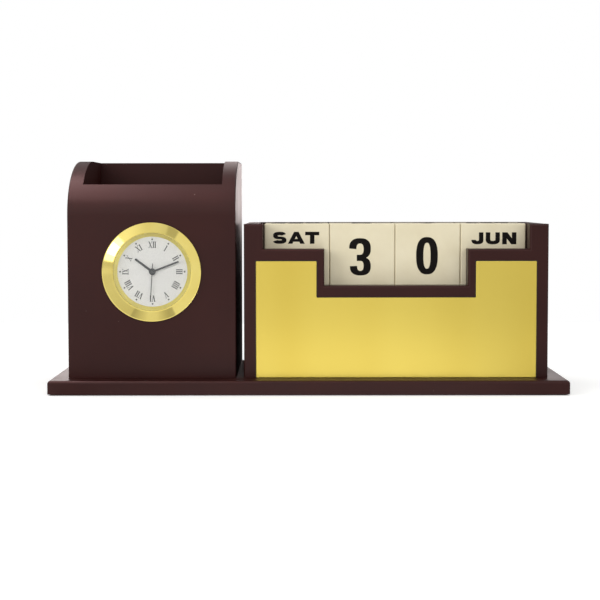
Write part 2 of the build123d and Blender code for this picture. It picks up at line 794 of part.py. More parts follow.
def make_centre_wheel():
    """Centre wheel, its tube and the cannon pinion, which carry the minute hand."""
    wheel_module = 2 * THIRD_DISTANCE / (THIRD_PINION + CENTRE_TEETH)
    wheel = gear(CENTRE_TEETH, wheel_module, TOOTH_WHEEL, THIRD_ANGLE)
    pinion = gear(CANNON_PINION, MOTION_MODULE, TOOTH_PINION, gap_at(MOTION_ANGLE, CANNON_PINION))
    body = plate(wheel, CENTRE_LAYER, CENTRE_LAYER + WHEEL_THICK)
    body = body + plate(pinion, CANNON_LAYER, CANNON_LAYER + WHEEL_THICK)
    body = body + disc(MINUTE_TUBE, MINUTE_HAND_FRONT, CENTRE_LAYER)
    return body - disc(MINUTE_BORE, MINUTE_HAND_FRONT, CENTRE_LAYER + WHEEL_THICK)


def make_motion_wheel():
    """Wheel and pinion that take the minute hand's turn to the hour wheel."""
    pinion_module = 2 * MOTION_DISTANCE / (MOTION_PINION + HOUR_TEETH)
    back_to_centre = MOTION_ANGLE + 180
    wheel = gear(MOTION_TEETH, MOTION_MODULE, TOOTH_WHEEL, back_to_centre)
    pinion = gear(MOTION_PINION, pinion_module, TOOTH_PINION, gap_at(back_to_centre, MOTION_PINION))
    body = plate(wheel, CANNON_LAYER, CANNON_LAYER + WHEEL_THICK, MOTION_PLACE)
    body = body + plate(pinion, MOTION_FRONT, CANNON_LAYER, MOTION_PLACE)
    return body + disc(ARBOR, CANNON_LAYER, MAIN_PLATE_BACK, MOTION_PLACE)


def make_hour_wheel():
    """Hour wheel with the tube that carries the hour hand."""
    wheel_module = 2 * MOTION_DISTANCE / (MOTION_PINION + HOUR_TEETH)
    wheel = gear(HOUR_TEETH, wheel_module, TOOTH_WHEEL, MOTION_ANGLE)
    body = plate(wheel, MOTION_FRONT, MOTION_FRONT + HOUR_WHEEL_THICK)
    body = body + disc(HOUR_TUBE, HOUR_HAND_FRONT, MOTION_FRONT)
    return body - disc(HOUR_BORE, HOUR_HAND_FRONT, MOTION_FRONT + HOUR_WHEEL_THICK)


def make_fifth_wheel():
    """Wheel and pinion between the rotor and the seconds wheel."""
    pinion_module = 2 * FIFTH_DISTANCE / (SECOND_TEETH + FIFTH_PINION)
    wheel_module = 2 * ROTOR_DISTANCE / (FIFTH_TEETH + ROTOR_PINION)
    back_to_centre = FIFTH_ANGLE + 180
    wheel = gear(FIFTH_TEETH, wheel_module, TOOTH_WHEEL, ROTOR_ANGLE)
    pinion = gear(FIFTH_PINION, pinion_module, TOOTH_PINION, gap_at(back_to_centre, FIFTH_PINION))
    body = plate(wheel, FIFTH_LAYER, FIFTH_LAYER + WHEEL_THICK, FIFTH_PLACE)
    body = body + plate(pinion, SECOND_LAYER, FIFTH_LAYER, FIFTH_PLACE)
    return body + disc(ARBOR, MAIN_PLATE_FRONT, BRIDGE_BACK, FIFTH_PLACE)


def make_rotor():
    """Magnet rotor of the step motor with its pinion."""
    pinion_module = 2 * ROTOR_DISTANCE / (FIFTH_TEETH + ROTOR_PINION)
    back_to_fifth = ROTOR_ANGLE + 180
    pinion = gear(ROTOR_PINION, pinion_module, TOOTH_PINION, gap_at(back_to_fifth, ROTOR_PINION))
    body = disc(ROTOR_RADIUS, ROTOR_FRONT, ROTOR_FRONT + ROTOR_THICK, ROTOR_PLACE)
    body = body + plate(pinion, FIFTH_LAYER, FIFTH_LAYER + WHEEL_THICK, ROTOR_PLACE)
    return body + disc(ARBOR, MAIN_PLATE_FRONT, BRIDGE_BACK, ROTOR_PLACE)


def make_set_knob():
    """Ribbed knob at the back with a stem and a pinion on the motion wheel."""
    back_to_motion = SET_ANGLE + 180
    pinion = gear(SET_PINION, MOTION_MODULE, TOOTH_PINION, gap_at(back_to_motion, SET_PINION))
    ribs = []
    for rib in range(2 * KNOB_RIBS):
        radius = KNOB_RADIUS if rib % 2 else KNOB_RADIUS - KNOB_RIB_DEEP
        ribs.append(polar(radius, rib * 180.0 / KNOB_RIBS))
    knob_front = CASE_DEPTH + KNOB_GAP
    body = plate(pinion, CANNON_LAYER, CANNON_LAYER + WHEEL_THICK, SET_PLACE)
    body = body + disc(STEM_RADIUS, CANNON_LAYER, knob_front, SET_PLACE)
    return body + plate(outline(ribs), knob_front, knob_front + KNOB_THICK, SET_PLACE)


def make_hour_hand():
    """Hour hand on the hour tube."""
    return hand(HOUR_ANGLE, HOUR_LENGTH, HOUR_WIDTH, 0.0, HOUR_HUB, HOUR_TUBE, HOUR_HAND_FRONT)


def make_minute_hand():
    """Minute hand on the minute tube."""
    return hand(
        MINUTE_ANGLE, MINUTE_LENGTH, MINUTE_WIDTH, 0.0, MINUTE_HUB, MINUTE_TUBE, MINUTE_HAND_FRONT
    )


def make_second_hand():
    """Thin second hand with a tail and a closed round hub on the end of the centre arbor."""
    return hand(SECOND_ANGLE, SECOND_LENGTH, SECOND_WIDTH, SECOND_TAIL, SECOND_HUB, 0.0, SECOND_HAND_FRONT)


PIECES = {
    "base_board": make_base(),
    "rubber_feet": make_feet(),
    "base_screws": [screw_at(place) for place in SCREW_PLACES],
    "pen_left_side": make_pen_side(PEN_LEFT, PEN_LEFT + PEN_SIDE, PEN_LEFT),
    "pen_right_side": make_pen_side(PEN_RIGHT - PEN_SIDE, PEN_RIGHT, PEN_RIGHT),
    "pen_front": make_pen_front(),
    "pen_back": make_pen_back(),
    "calendar_front": make_calendar_front(),
    "calendar_back": make_calendar_back(),
    "calendar_left_end": make_calendar_end(CAL_LEFT, CAL_LEFT + CAL_END, CAL_LEFT),
    "calendar_right_end": make_calendar_end(CAL_RIGHT - CAL_END, CAL_RIGHT, CAL_RIGHT),
    "calendar_shelf": make_shelf(),
    "shelf_cleats": make_cleats(),
    "card_divider": make_divider(),
    "brass_plate": make_brass_plate(),
    "day_cube": make_cube(0),
    "tens_cube": make_cube(1),
    "units_cube": make_cube(2),
    "month_cube": make_cube(3),
    "clock_bezel": make_bezel(),
    "clock_lens": make_lens(),
    "dial_ring": make_dial_ring(),
    "clock_dial": make_dial(),
    "dial_spacer": make_dial_spacer(),
    "clock_case": make_case(),
    "grip_ring": make_grip_ring(),
    "battery_hatch": make_hatch(),
    "main_plate": make_main_plate(),
    "train_bridge": make_bridge(),
    "bridge_screws": make_bridge_screws(),
    "motor_stator": make_stator(),
    "coil_core": make_coil_core(),
    "coil_winding": make_coil(),
    "circuit_board": make_board(),
    "quartz_crystal": make_crystal(),
    "button_cell": make_cell(),
    "motor_rotor": make_rotor(),
    "fifth_wheel": make_fifth_wheel(),
    "seconds_wheel": make_seconds_wheel(),
    "third_wheel": make_third_wheel(),
    "centre_wheel": make_centre_wheel(),
    "motion_wheel": make_motion_wheel(),
    "hour_wheel": make_hour_wheel(),
    "set_knob": make_set_knob(),
    "hour_hand": make_hour_hand(),
    "minute_hand": make_minute_hand(),
    "second_hand": make_second_hand(),
}

os.makedirs("parts", exist_ok=True)
for name, piece in PIECES.items():
    shape = Compound(children=piece) if isinstance(piece, list) else piece
    export_step(shape, f"parts/{name}.step")
    print(f"{name}: {shape.volume:.1f} mm3")
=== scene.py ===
"""Looks of a desk organizer: lacquered boards, a brass plate, printed calendar cubes and an insert clock.

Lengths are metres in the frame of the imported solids: +X right, +Y back, +Z up, and the front faces -Y.
"""
import json
import math

import bpy
import numpy as np
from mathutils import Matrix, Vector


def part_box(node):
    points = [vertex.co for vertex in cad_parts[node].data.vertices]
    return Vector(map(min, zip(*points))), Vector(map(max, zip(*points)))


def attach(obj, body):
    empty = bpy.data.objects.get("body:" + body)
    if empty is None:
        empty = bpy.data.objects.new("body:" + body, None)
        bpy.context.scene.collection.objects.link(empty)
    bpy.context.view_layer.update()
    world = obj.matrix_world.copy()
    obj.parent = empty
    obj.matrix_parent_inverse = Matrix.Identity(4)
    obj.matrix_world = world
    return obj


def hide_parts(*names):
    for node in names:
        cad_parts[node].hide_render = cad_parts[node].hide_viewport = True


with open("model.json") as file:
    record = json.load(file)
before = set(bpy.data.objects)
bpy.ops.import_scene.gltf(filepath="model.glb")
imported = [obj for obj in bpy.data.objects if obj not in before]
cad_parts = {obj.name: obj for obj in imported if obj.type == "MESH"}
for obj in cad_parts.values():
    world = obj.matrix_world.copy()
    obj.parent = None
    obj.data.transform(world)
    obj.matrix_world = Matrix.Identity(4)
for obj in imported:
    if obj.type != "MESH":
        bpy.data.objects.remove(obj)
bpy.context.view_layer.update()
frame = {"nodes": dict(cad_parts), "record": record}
MM = 0.001

# Camera, in the photograph's frame
IMAGE_SIDE_PIXELS = 600
FOCAL_LENGTH_PIXELS = 1578.0
SENSOR_MM = 36.0
CAMERA_PLACE = (-3.1 * MM, -608.2 * MM, 70.5 * MM)
CAMERA_PITCH_DEGREES = -3.584
CAMERA_ROLL_DEGREES = 0.047

# Floor
FLOOR_HALF_WIDTH = 0.5
FLOOR_FRONT = -0.45
FLOOR_BACK = 0.3
# Share of the tent's brightness that shiny surfaces see in the floor, by distance along Y
FLOOR_GLOW = ((-0.3, 0.5), (-0.2, 0.75), (-0.13, 1.0), (-0.02, 1.0), (0.03, 0.03))
# Between these distances along X that share rises to all of it, at the object's right
FLOOR_SIDE_START, FLOOR_SIDE_FULL = 0.16, 0.24
# Light that whitens the floor for the camera, and the width over which it fades out under the base board
FLOOR_WHITENING = 0.35
BASE_EDGE_BLEND = 1.0 * MM

# The white tent as the clock's rim mirrors it: brightness by direction round the clock's axis, in degrees
# from the right
TENT_PANELS = (
    (-180, 1.0), (-129, 1.0), (-128, 0.58), (-117, 0.58), (-116, 0.82), (-106, 0.9), (-90, 0.97),
    (-72, 1.2), (-45, 1.35), (-41, 1.4), (-23, 1.4), (-20, 1.25), (-17, 0.78), (-12, 0.78), (-10, 0.93),
    (-3, 0.93), (3, 0.8), (60, 0.76), (68, 0.74), (69, 0.5), (73, 0.56), (81, 0.74), (91, 0.95),
    (102, 0.93), (111, 0.72), (118, 0.56), (125, 0.56), (126, 1.0), (180, 1.0),
)
# The panels' share of the tent, by direction from the front (0) to the back (1)
PANEL_BAND = ((0.24, 0.0), (0.29, 1.0), (0.45, 1.0), (0.5, 0.0))
# The rest of the tent: a dim spot near the camera, and the brightness from it (0) round to its far side (1)
DIM_SPOT = (0.35, -0.935, -0.05)
TENT_DEPTH = (
    (0.0, 0.5), (0.025, 0.5), (0.036, 0.6), (0.047, 0.85), (0.06, 1.35), (0.09, 1.5), (0.2, 1.25),
    (0.5, 1.05), (0.7, 0.85), (0.9, 0.7), (1.0, 0.5),
)
# The ramps hold shares of this brightness
BRIGHTEST_PANEL = 1.6
# The tent's back is dark low down: the Y from which a direction is back in full, the Z between which the back
# brightens, and its share of the tent's light below them
BACK_FULL = 0.2
BACK_LOW, BACK_HIGH = 0.06, 0.35
BACK_DARK_SHARE = 0.02
# A dark strip in the back, mirrored in the gap between the boxes: its middle along X, and the half widths
# between which its sides fade
STRIP_MIDDLE, STRIP_INNER, STRIP_OUTER = -0.02, 0.075, 0.09
# Share of the tent that is left in a mirror image of a mirror image
SECOND_MIRRORING = 0.3
# Even light from all sides on matt surfaces
AMBIENT_LEVEL = 0.56

# Lamps: the point that most of them face, the place and aim of the pair that glints on the clock's rim, and
# their tints
MIDDLE = (0.0, -0.02, 0.04)
GLINT_PLACE = (-0.0275, -0.0495, 0.0208)
GLINT_AIM = (-0.0719, -0.0286, 0.052)
WHITE = (1.0, 1.0, 1.0)
PALE_PINK = (1.0, 0.88, 0.86)
WARM_PINK = (1.0, 0.62, 0.62)

# Ink: its body, how far it stands out of a face, and the step between strokes that overlap
INK_THICKNESS = 0.05 * MM
INK_STANDS_PROUD = 0.02 * MM
INK_STEP = 0.004 * MM

# Calendar lettering: strokes, widths and gaps are in units of the letter's height
DIGIT_HEIGHT = 13.9 * MM
DIGIT_STEM, DIGIT_ARM = 0.193, 0.15
DIGIT_WIDTH, ONE_WIDTH = 0.58, 0.38
WORD_HEIGHT = 4.45 * MM
WORD_RISE = 6.75 * MM
WORD_STEM, WORD_ARM = 0.375, 0.285
LETTER_WIDTHS = {
    "A": 1.42, "C": 1.24, "E": 1.0, "F": 0.98, "G": 1.28, "I": WORD_STEM, "J": 1.0, "L": 0.98, "M": 1.42,
    "O": 1.3, "S": 1.13, "V": 1.36, "W": 1.9, "Y": 1.36,
}
OTHER_LETTER_WIDTH = 1.18
LETTER_GAP = 0.2
# Pairs of letters that stand closer
TIGHT_PAIRS = {"SA": -0.08, "AT": -0.17, "AY": -0.17, "AU": -0.04, "FR": -0.02, "TU": -0.04, "OV": -0.06}
# Round strokes: the power of their rounded boxes, their steps, and the degrees of a ring and its right half
ROUND_POWER = 2.5
ROUND_STEPS = 40
FULL_TURN = (0, 360)
RIGHT_HALF = (90, -90)

# Calendar cubes: each face's right and up directions, then what is printed on the faces in that order
FACES = {
    "front": ((1, 0, 0), (0, 0, 1)),
    "back": ((-1, 0, 0), (0, 0, 1)),
    "right": ((0, 1, 0), (0, 0, 1)),
    "left": ((0, -1, 0), (0, 0, 1)),
    "top": ((1, 0, 0), (0, 1, 0)),
    "bottom": ((1, 0, 0), (0, -1, 0)),
}
DIGITS = {"tens": "301254", "units": "012678"}
WORDS = {
    "day": (
        ("SAT", "SUN"), ("MON", "TUE"), ("WED", "THU"), ("FRI", ""), ("SUN", "MON"), ("TUE", "WED"),
    ),
    "month": (
        ("JUN", "JUL"), ("AUG", "SEP"), ("OCT", "NOV"), ("DEC", "JAN"), ("FEB", "MAR"), ("APR", "MAY"),
    ),
}
# Millimetres by which the front's print is off the middle, to the right and up
PRINT_SHIFT = {"day": (-0.27, 0.1), "tens": (-0.84, -0.27), "units": (-0.26, 0.13), "month": (0.27, -0.15)}
CUBES = ("day", "tens", "units", "month")

# Clock dial marks
DOT_CIRCLE = 11.93 * MM
DOT_RADIUS = 0.29 * MM
NUMERAL_CIRCLE = 9.97 * MM
NUMERAL_HEIGHT = 2.3 * MM
NUMERAL_THICK, NUMERAL_THIN, NUMERAL_SERIF = 0.145, 0.06, 0.045
NUMERAL_WIDTHS = {"I": 0.26, "V": 0.62, "X": 0.64}
NUMERAL_GAP = 0.04
HOURS = ("XII", "I", "II", "III", "IIII", "V", "VI", "VII", "VIII", "IX", "X", "XI")

# Clock metalwork
TURNED_STEPS = 256
CORNER_STEPS = 6
# A point this many cuts from a corner holds the shading of the straight run beside it
HOLD_CUTS = 1.3
RIM_ROUND = 0.4 * MM
LIP_ROUND = 0.09 * MM
INNER_ROUND = 0.03 * MM
LIP_OUTER = 14.75 * MM
LIP_INNER = 14.4 * MM
LIP_DEPTH = 1.5 * MM
SHOULDER_DEPTH = 1.0 * MM
SHOULDER_RADIUS = 17.1 * MM
SKIRT_RADIUS = 16.4 * MM
RING_MOUTH = 14.35 * MM
RING_FOOT = 12.95 * MM

# Black rim round the brass plate, painted shadow for the dark line along the plate's edges, and the plate's
# notch
SHADOW_RIM_MARGIN = 0.3 * MM
SHADOW_RIM_THICKNESS = 0.08 * MM
NOTCH_HALF_WIDTH = 29.35 * MM
NOTCH_DEPTH = 13.4 * MM

# Part of a noise's range that a material's colours and gloss are spread over
CLOUD_LOW, CLOUD_HIGH = 0.3, 0.7

# Sizes and places of the clock, from its solids
BEZEL_LOW, BEZEL_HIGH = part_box("clock_bezel")
RING_LOW, RING_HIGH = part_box("dial_ring")
LENS_LOW, LENS_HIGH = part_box("clock_lens")
DIAL_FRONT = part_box("clock_dial")[0].y
PEN_BOX_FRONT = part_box("pen_front")[0].y
CLOCK_CENTRE = ((BEZEL_LOW.x + BEZEL_HIGH.x) / 2, (BEZEL_LOW.z + BEZEL_HIGH.z) / 2)
BEZEL_RADIUS = (BEZEL_HIGH.x - BEZEL_LOW.x) / 2
LENS_RADIUS = (LENS_HIGH.x - LENS_LOW.x) / 2


# Meshes

def add_piece(name, points, faces, material, body, smooth=True):
    """Puts points and faces into a new mesh object at the origin, dresses it and lets it ride on a body."""
    mesh = bpy.data.meshes.new(name)
    mesh.from_pydata(points.reshape(-1, 3).tolist(), [], faces.tolist())
    mesh.polygons.foreach_set("use_smooth", np.full(len(mesh.polygons), smooth))
    mesh.materials.append(material)
    piece = bpy.data.objects.new(name, mesh)
    bpy.context.scene.collection.objects.link(piece)
    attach(piece, body)
    return piece


def grid_faces(rows, columns, closed=False):
    """Quads between neighbours of a grid whose points are counted row by row.

    A closed grid also joins its last row to its first, and its last column to its first.
    """
    index = np.arange(rows * columns).reshape(rows, columns)
    if closed:
        index = np.pad(index, ((0, 1), (0, 1)), mode="wrap")
    corners = [index[:-1, :-1], index[:-1, 1:], index[1:, 1:], index[1:, :-1]]
    return np.stack(corners, axis=-1).reshape(-1, 4)


def rounded_outline(corners, cut):
    """A closed outline with each corner cut back and joined by a parabola.

    At share t the point is (1-t)^2 times the start, 2t(1-t) times the corner and t^2 times the end. A holding
    point outside each end keeps the shading of the straight runs flat.
    """
    corners = np.asarray(corners, float)
    towards_last = np.roll(corners, 1, axis=0) - corners
    towards_next = np.roll(corners, -1, axis=0) - corners
    towards_last /= np.linalg.norm(towards_last, axis=1, keepdims=True)
    towards_next /= np.linalg.norm(towards_next, axis=1, keepdims=True)
    start = (corners + cut * towards_last)[:, None]
    end = (corners + cut * towards_next)[:, None]
    share = np.linspace(0.0, 1.0, CORNER_STEPS)[None, :, None]
    arc = (1 - share) ** 2 * start + 2 * share * (1 - share) * corners[:, None] + share ** 2 * end
    hold_in = (corners + HOLD_CUTS * cut * towards_last)[:, None]
    hold_out = (corners + HOLD_CUTS * cut * towards_next)[:, None]
    return np.concatenate([hold_in, arc, hold_out], axis=1).reshape(-1, 2)


def turned(outline):
    """An outline of (radius, y) carried round the clock's axis.

    Its x and z are the clock's centre plus the radius times the cosine and sine of the turn.
    """
    turn = np.linspace(0.0, 2 * math.pi, TURNED_STEPS, endpoint=False)[:, None]
    radius, depth = outline[None, :, 0], outline[None, :, 1]
    x = CLOCK_CENTRE[0] + radius * np.cos(turn)
    z = CLOCK_CENTRE[1] + radius * np.sin(turn)
    return np.stack([x, np.broadcast_to(depth, x.shape), z], axis=-1)


# Strokes of letters, in units of the letter's height

def bar(left, right, low, high):
    """An upright rectangle, as a grid of two rows of two points."""
    return np.array([[(left, low), (right, low)], [(left, high), (right, high)]], float)


def slant(foot, head, width):
    """A leaning stroke between the left ends of its foot and head, cut level at both."""
    rows = np.array([foot, head], float)[:, None]
    return rows + np.array([(0.0, 0.0), (width, 0.0)])


def bowl(box, stem, arms, turn):
    """Part of a ring between two rounded boxes, over a turn in degrees from its start to its end.

    On each box x is half the width times cos to the power 2/n and y half the height times sin to the power
    2/n, with the sign kept. The inner box is a stem narrower at each side, and lower by its arms: the first
    at the bottom and the second at the top.
    """
    left, right, low, high = box
    inner_low, inner_high = low + arms[0], high - arms[1]
    angle = np.radians(np.linspace(*turn, ROUND_STEPS))
    across = np.sign(np.cos(angle)) * np.abs(np.cos(angle)) ** (2 / ROUND_POWER)
    along = np.sign(np.sin(angle)) * np.abs(np.sin(angle)) ** (2 / ROUND_POWER)
    middle, half = (left + right) / 2, (right - left) / 2
    outer_y = (low + high) / 2 + (high - low) / 2 * along
    inner_y = (inner_low + inner_high) / 2 + (inner_high - inner_low) / 2 * along
    outer = np.stack([middle + half * across, outer_y], axis=-1)
    inner = np.stack([middle + (half - stem) * across, inner_y], axis=-1)
    return np.stack([inner, outer], axis=0)


def digit_strokes(sign):
    """Width and strokes of a condensed heavy digit. A six turned upside down serves as the nine."""
    stem, arm, width = DIGIT_STEM, DIGIT_ARM, DIGIT_WIDTH
    arms = (arm, arm)
    strokes = {
        "0": [bowl((0, width, 0, 1), stem, arms, FULL_TURN)],
        "1": [bar(0.18, 0.18 + stem, 0, 1), slant((0, 0.72), (0.18, 1), stem)],
        "2": [bowl((0, width, 0.42, 1), stem, arms, (180, -25)),
              slant((0, 0.8 * arm), (width - 1.2 * stem, 0.62), 1.2 * stem),
              bar(0, width, 0, arm)],
        "3": [bowl((0, width, 0.445, 1), stem, (0.11, 0.143), (180, -90)),
              bowl((0.02, width, 0, 0.5), stem, (0.122, 0.11), (90, -180)),
              bar(0.205, 0.36, 0.39, 0.555)],
        "4": [bar(0.29, 0.29 + stem, 0, 1),
              bar(0, width, 0.2, 0.2 + arm),
              slant((0, 0.27), (0.29, 1), 0.8 * stem)],
        "5": [bar(0.05, 0.96 * width, 1 - arm, 1),
              bar(0.05, 0.05 + 0.8 * stem, 0.42, 1),
              bowl((0, width, 0, 0.64), stem, (arm, 0.13), (150, -180))],
        "6": [bowl((0, width, 0, 1), stem, arms, (20, 230)),
              bowl((0, width, 0, 0.6), stem, (arm, 0.13), FULL_TURN)],
        "7": [bar(0, width, 1 - arm, 1), slant((0.13, 0), (width - stem, 1 - arm), stem)],
        "8": [bowl((0.02, width - 0.02, 0.455, 1), stem, (0.11, 0.143), FULL_TURN),
              bowl((0, width, 0, 0.55), stem, (0.143, 0.11), FULL_TURN)],
    }
    return ONE_WIDTH if sign == "1" else width, strokes[sign]


def letter_strokes(sign):
    """Width and strokes of an extended heavy capital."""
    stem, arm = WORD_STEM, WORD_ARM
    arms = (arm, arm)
    width = LETTER_WIDTHS.get(sign, OTHER_LETTER_WIDTH)
    right = width - stem
    apex = right / 2
    # The right half of a ring that starts here springs from the left stem
    ring = 2 * stem - width
    left_stem, right_stem = bar(0, stem, 0, 1), bar(right, width, 0, 1)
    low_arm, high_arm = bar(0, width, 0, arm), bar(0, width, 1 - arm, 1)
    high_bowl = bowl((ring, width, 0.42, 1), stem, arms, RIGHT_HALF)
    leg, dip, peak = 0.9 * stem, 0.22 * width, 0.6 * width
    strokes = {
        "A": [slant((0, 0), (apex, 1), stem), slant((right, 0), (apex, 1), stem),
              bar(0.25 * width, 0.75 * width, 0.17, 0.41)],
        "B": [left_stem, high_bowl, bowl((ring, width, 0, 0.58), stem, (arm, 0.16), RIGHT_HALF)],
        "C": [bowl((0, width, 0, 1), stem, arms, (28, 332))],
        "D": [left_stem, bowl((ring, width, 0, 1), stem, arms, RIGHT_HALF)],
        "E": [left_stem, low_arm, bar(0, 0.93 * width, 0.39, 0.61), high_arm],
        "F": [left_stem, bar(0, 0.9 * width, 0.36, 0.58), high_arm],
        "G": [bowl((0, width, 0, 1), stem, arms, (28, 330)), bar(0.55 * width, width, 0.34, 0.54),
              bar(right, width, 0.12, 0.5)],
        "H": [left_stem, right_stem, bar(0, width, 0.39, 0.62)],
        "I": [left_stem],
        "J": [bar(right, width, 0.35, 1), bowl((0, width, 0, 0.74), stem, arms, (0, -180))],
        "L": [left_stem, low_arm],
        "M": [left_stem, right_stem, slant((apex, 0), (0.02, 1), stem),
              slant((apex, 0), (right - 0.02, 1), stem)],
        "N": [left_stem, right_stem, slant((width - 1.15 * stem, 0), (0, 1), 1.15 * stem)],
        "O": [bowl((0, width, 0, 1), stem, arms, FULL_TURN)],
        "P": [left_stem, bowl((ring, width, 0.36, 1), stem, arms, RIGHT_HALF)],
        "R": [left_stem, high_bowl, slant((width - 1.05 * stem, 0), (0.42 * width, 0.5), 1.05 * stem)],
        "S": [bowl((0.02, width - 0.02, 0.38, 1), stem, (0.22, arm), (18, 270)),
              bowl((0, width, 0, 0.6), stem, (arm, 0.22), (90, -165))],
        "T": [bar(apex, apex + stem, 0, 1), high_arm],
        "U": [bar(0, stem, 0.4, 1), bar(right, width, 0.4, 1),
              bowl((0, width, 0, 0.8), stem, arms, (180, 360))],
        "V": [slant((apex, 0), (0, 1), stem), slant((apex, 0), (right, 1), stem)],
        "W": [slant((dip, 0), (0, 1), leg), slant((dip, 0), (apex, 1), leg),
              slant((peak, 0), (apex, 1), leg), slant((peak, 0), (width - leg, 1), leg)],
        "Y": [bar(apex, apex + stem, 0, 0.5), slant((apex, 0.42), (0, 1), stem),
              slant((apex, 0.42), (right, 1), stem)],
    }
    return width, strokes[sign]


def numeral_strokes(sign):
    """Width and strokes of a serif Roman numeral: one stroke of each letter is thick, the other thin."""
    thick, thin, serif = NUMERAL_THICK, NUMERAL_THIN, NUMERAL_SERIF
    high_serifs = [bar(-0.02, 0.25, 1 - serif, 1), bar(0.4, 0.64, 1 - serif, 1)]
    low_serifs = [bar(-0.02, 0.22, 0, serif), bar(0.38, 0.66, 0, serif)]
    strokes = {
        "I": [bar(0.06, 0.06 + thick, 0, 1), bar(0, 0.26, 0, serif), bar(0, 0.26, 1 - serif, 1)],
        "V": [slant((0.24, 0), (0.04, 1), thick), slant((0.28, 0), (0.5, 1), thin)] + high_serifs,
        "X": [slant((0.44, 0), (0.04, 1), thick), slant((0.06, 0), (0.5, 1), thin)]
             + high_serifs + low_serifs,
    }
    return NUMERAL_WIDTHS[sign], strokes[sign]


def word_strokes(word, strokes_of, gap):
    """The strokes of a word set from left to right, moved so that the word's middle is at zero."""
    placed = []
    start = 0.0
    for place, sign in enumerate(word):
        width, strokes = strokes_of(sign)
        placed += [stroke + np.array([start, 0.0]) for stroke in strokes]
        start += width + gap + TIGHT_PAIRS.get(word[place:place + 2], 0.0)
    middle = np.array([(start - gap) / 2, 0.5])
    return [stroke - middle for stroke in placed]


def laid_on(strokes, height, centre, right, up):
    """Strokes on a flat face: the face's centre plus x along right and y along up, both times the height.

    Each stroke lies a hair above the one before it, as overlapping faces at one level would flicker.
    """
    axes = np.array([right, up], float) * height
    out = np.cross(right, up)
    return [centre + place * INK_STEP * out + stroke @ axes for place, stroke in enumerate(strokes)]


def ink_piece(name, patches, material, body):
    """All strokes of one print in one mesh, given a thin body below its face."""
    points = np.concatenate([patch.reshape(-1, 3) for patch in patches])
    faces = []
    first = 0
    for patch in patches:
        rows, columns = patch.shape[:2]
        faces.append(first + grid_faces(rows, columns))
        first += rows * columns
    piece = add_piece(name, points, np.concatenate(faces), material, body, smooth=False)
    body_of_ink = piece.modifiers.new("ink_body", "SOLIDIFY")
    body_of_ink.thickness = INK_THICKNESS
    body_of_ink.offset = -1.0


# Materials

def linear(hex_colour):
    """The linear colour of an sRGB hex value.

    The low part is divided by 12.92, and the rest is ((c + 0.055) / 1.055) to the power 2.4.
    """
    value = np.array([int(hex_colour[place:place + 2], 16) for place in (1, 3, 5)]) / 255
    low = value / 12.92
    high = ((value + 0.055) / 1.055) ** 2.4
    return (*np.where(value <= 0.04045, low, high), 1.0)


def add_node(tree, kind, inputs=None, stops=(), **settings):
    """Adds a node, sets its settings and its ramp's stops, and sets or links each named or numbered input."""
    node = tree.nodes.new(kind)
    for name, value in settings.items():
        setattr(node, name, value)
    for place, (position, colour) in enumerate(stops):
        elements = node.color_ramp.elements
        element = elements[place] if place < len(elements) else elements.new(position)
        element.position = position
        element.color = linear(colour) if isinstance(colour, str) else (colour, colour, colour, 1.0)
    for name, value in (inputs or {}).items():
        if isinstance(value, bpy.types.NodeSocket):
            tree.links.new(value, node.inputs[name])
        else:
            node.inputs[name].default_value = value
    return node


def start_material(name):
    """An empty material with its output and the object coordinates that its patterns read."""
    material = bpy.data.materials.new(name)
    material.use_nodes = True
    tree = material.node_tree
    tree.nodes.clear()
    output = add_node(tree, "ShaderNodeOutputMaterial")
    place = add_node(tree, "ShaderNodeTexCoord").outputs["Object"]
    return material, tree, output, place


def per_metre(size_mm):
    """The scale of a pattern whose cells are about this many millimetres."""
    return 1.0 / (size_mm * MM)


def lacquered_board():
    """Dark brown polyurethane sprayed on fibreboard: a satin film with faint orange peel, clouds and nibs."""
    material, tree, output, place = start_material("mahogany_satin_lacquer")
    cloud = add_node(tree, "ShaderNodeTexNoise", {"Vector": place, "Scale": per_metre(24), "Detail": 4.0})
    peel = add_node(tree, "ShaderNodeTexNoise", {"Vector": place, "Scale": per_metre(1.3), "Detail": 2.0})
    nib = add_node(tree, "ShaderNodeTexVoronoi", {"Vector": place, "Scale": per_metre(9.0)})
    colour = add_node(tree, "ShaderNodeValToRGB", {"Fac": cloud.outputs["Fac"]},
                      stops=((CLOUD_LOW, "#2d110f"), (CLOUD_HIGH, "#321310")))
    speck = add_node(tree, "ShaderNodeValToRGB", {"Fac": nib.outputs["Distance"]},
                     stops=((0.012, "#8a7a74"), (0.02, "#000000")))
    tint = add_node(tree, "ShaderNodeMix",
                    {"Factor": 1.0, "A": colour.outputs["Color"], "B": speck.outputs["Color"]},
                    data_type="RGBA", blend_type="ADD")
    rough = add_node(tree, "ShaderNodeMapRange",
                     {"Value": cloud.outputs["Fac"], "From Min": CLOUD_LOW, "From Max": CLOUD_HIGH,
                      "To Min": 0.35, "To Max": 0.41})
    bump = add_node(tree, "ShaderNodeBump",
                    {"Height": peel.outputs["Fac"], "Strength": 0.25, "Distance": 0.02 * MM})
    shader = add_node(tree, "ShaderNodeBsdfPrincipled",
                      {"Base Color": tint.outputs["Result"], "Roughness": rough.outputs["Result"],
                       "IOR": 1.3, "Normal": bump.outputs["Normal"]})
    tree.links.new(shader.outputs["BSDF"], output.inputs["Surface"])
    return material


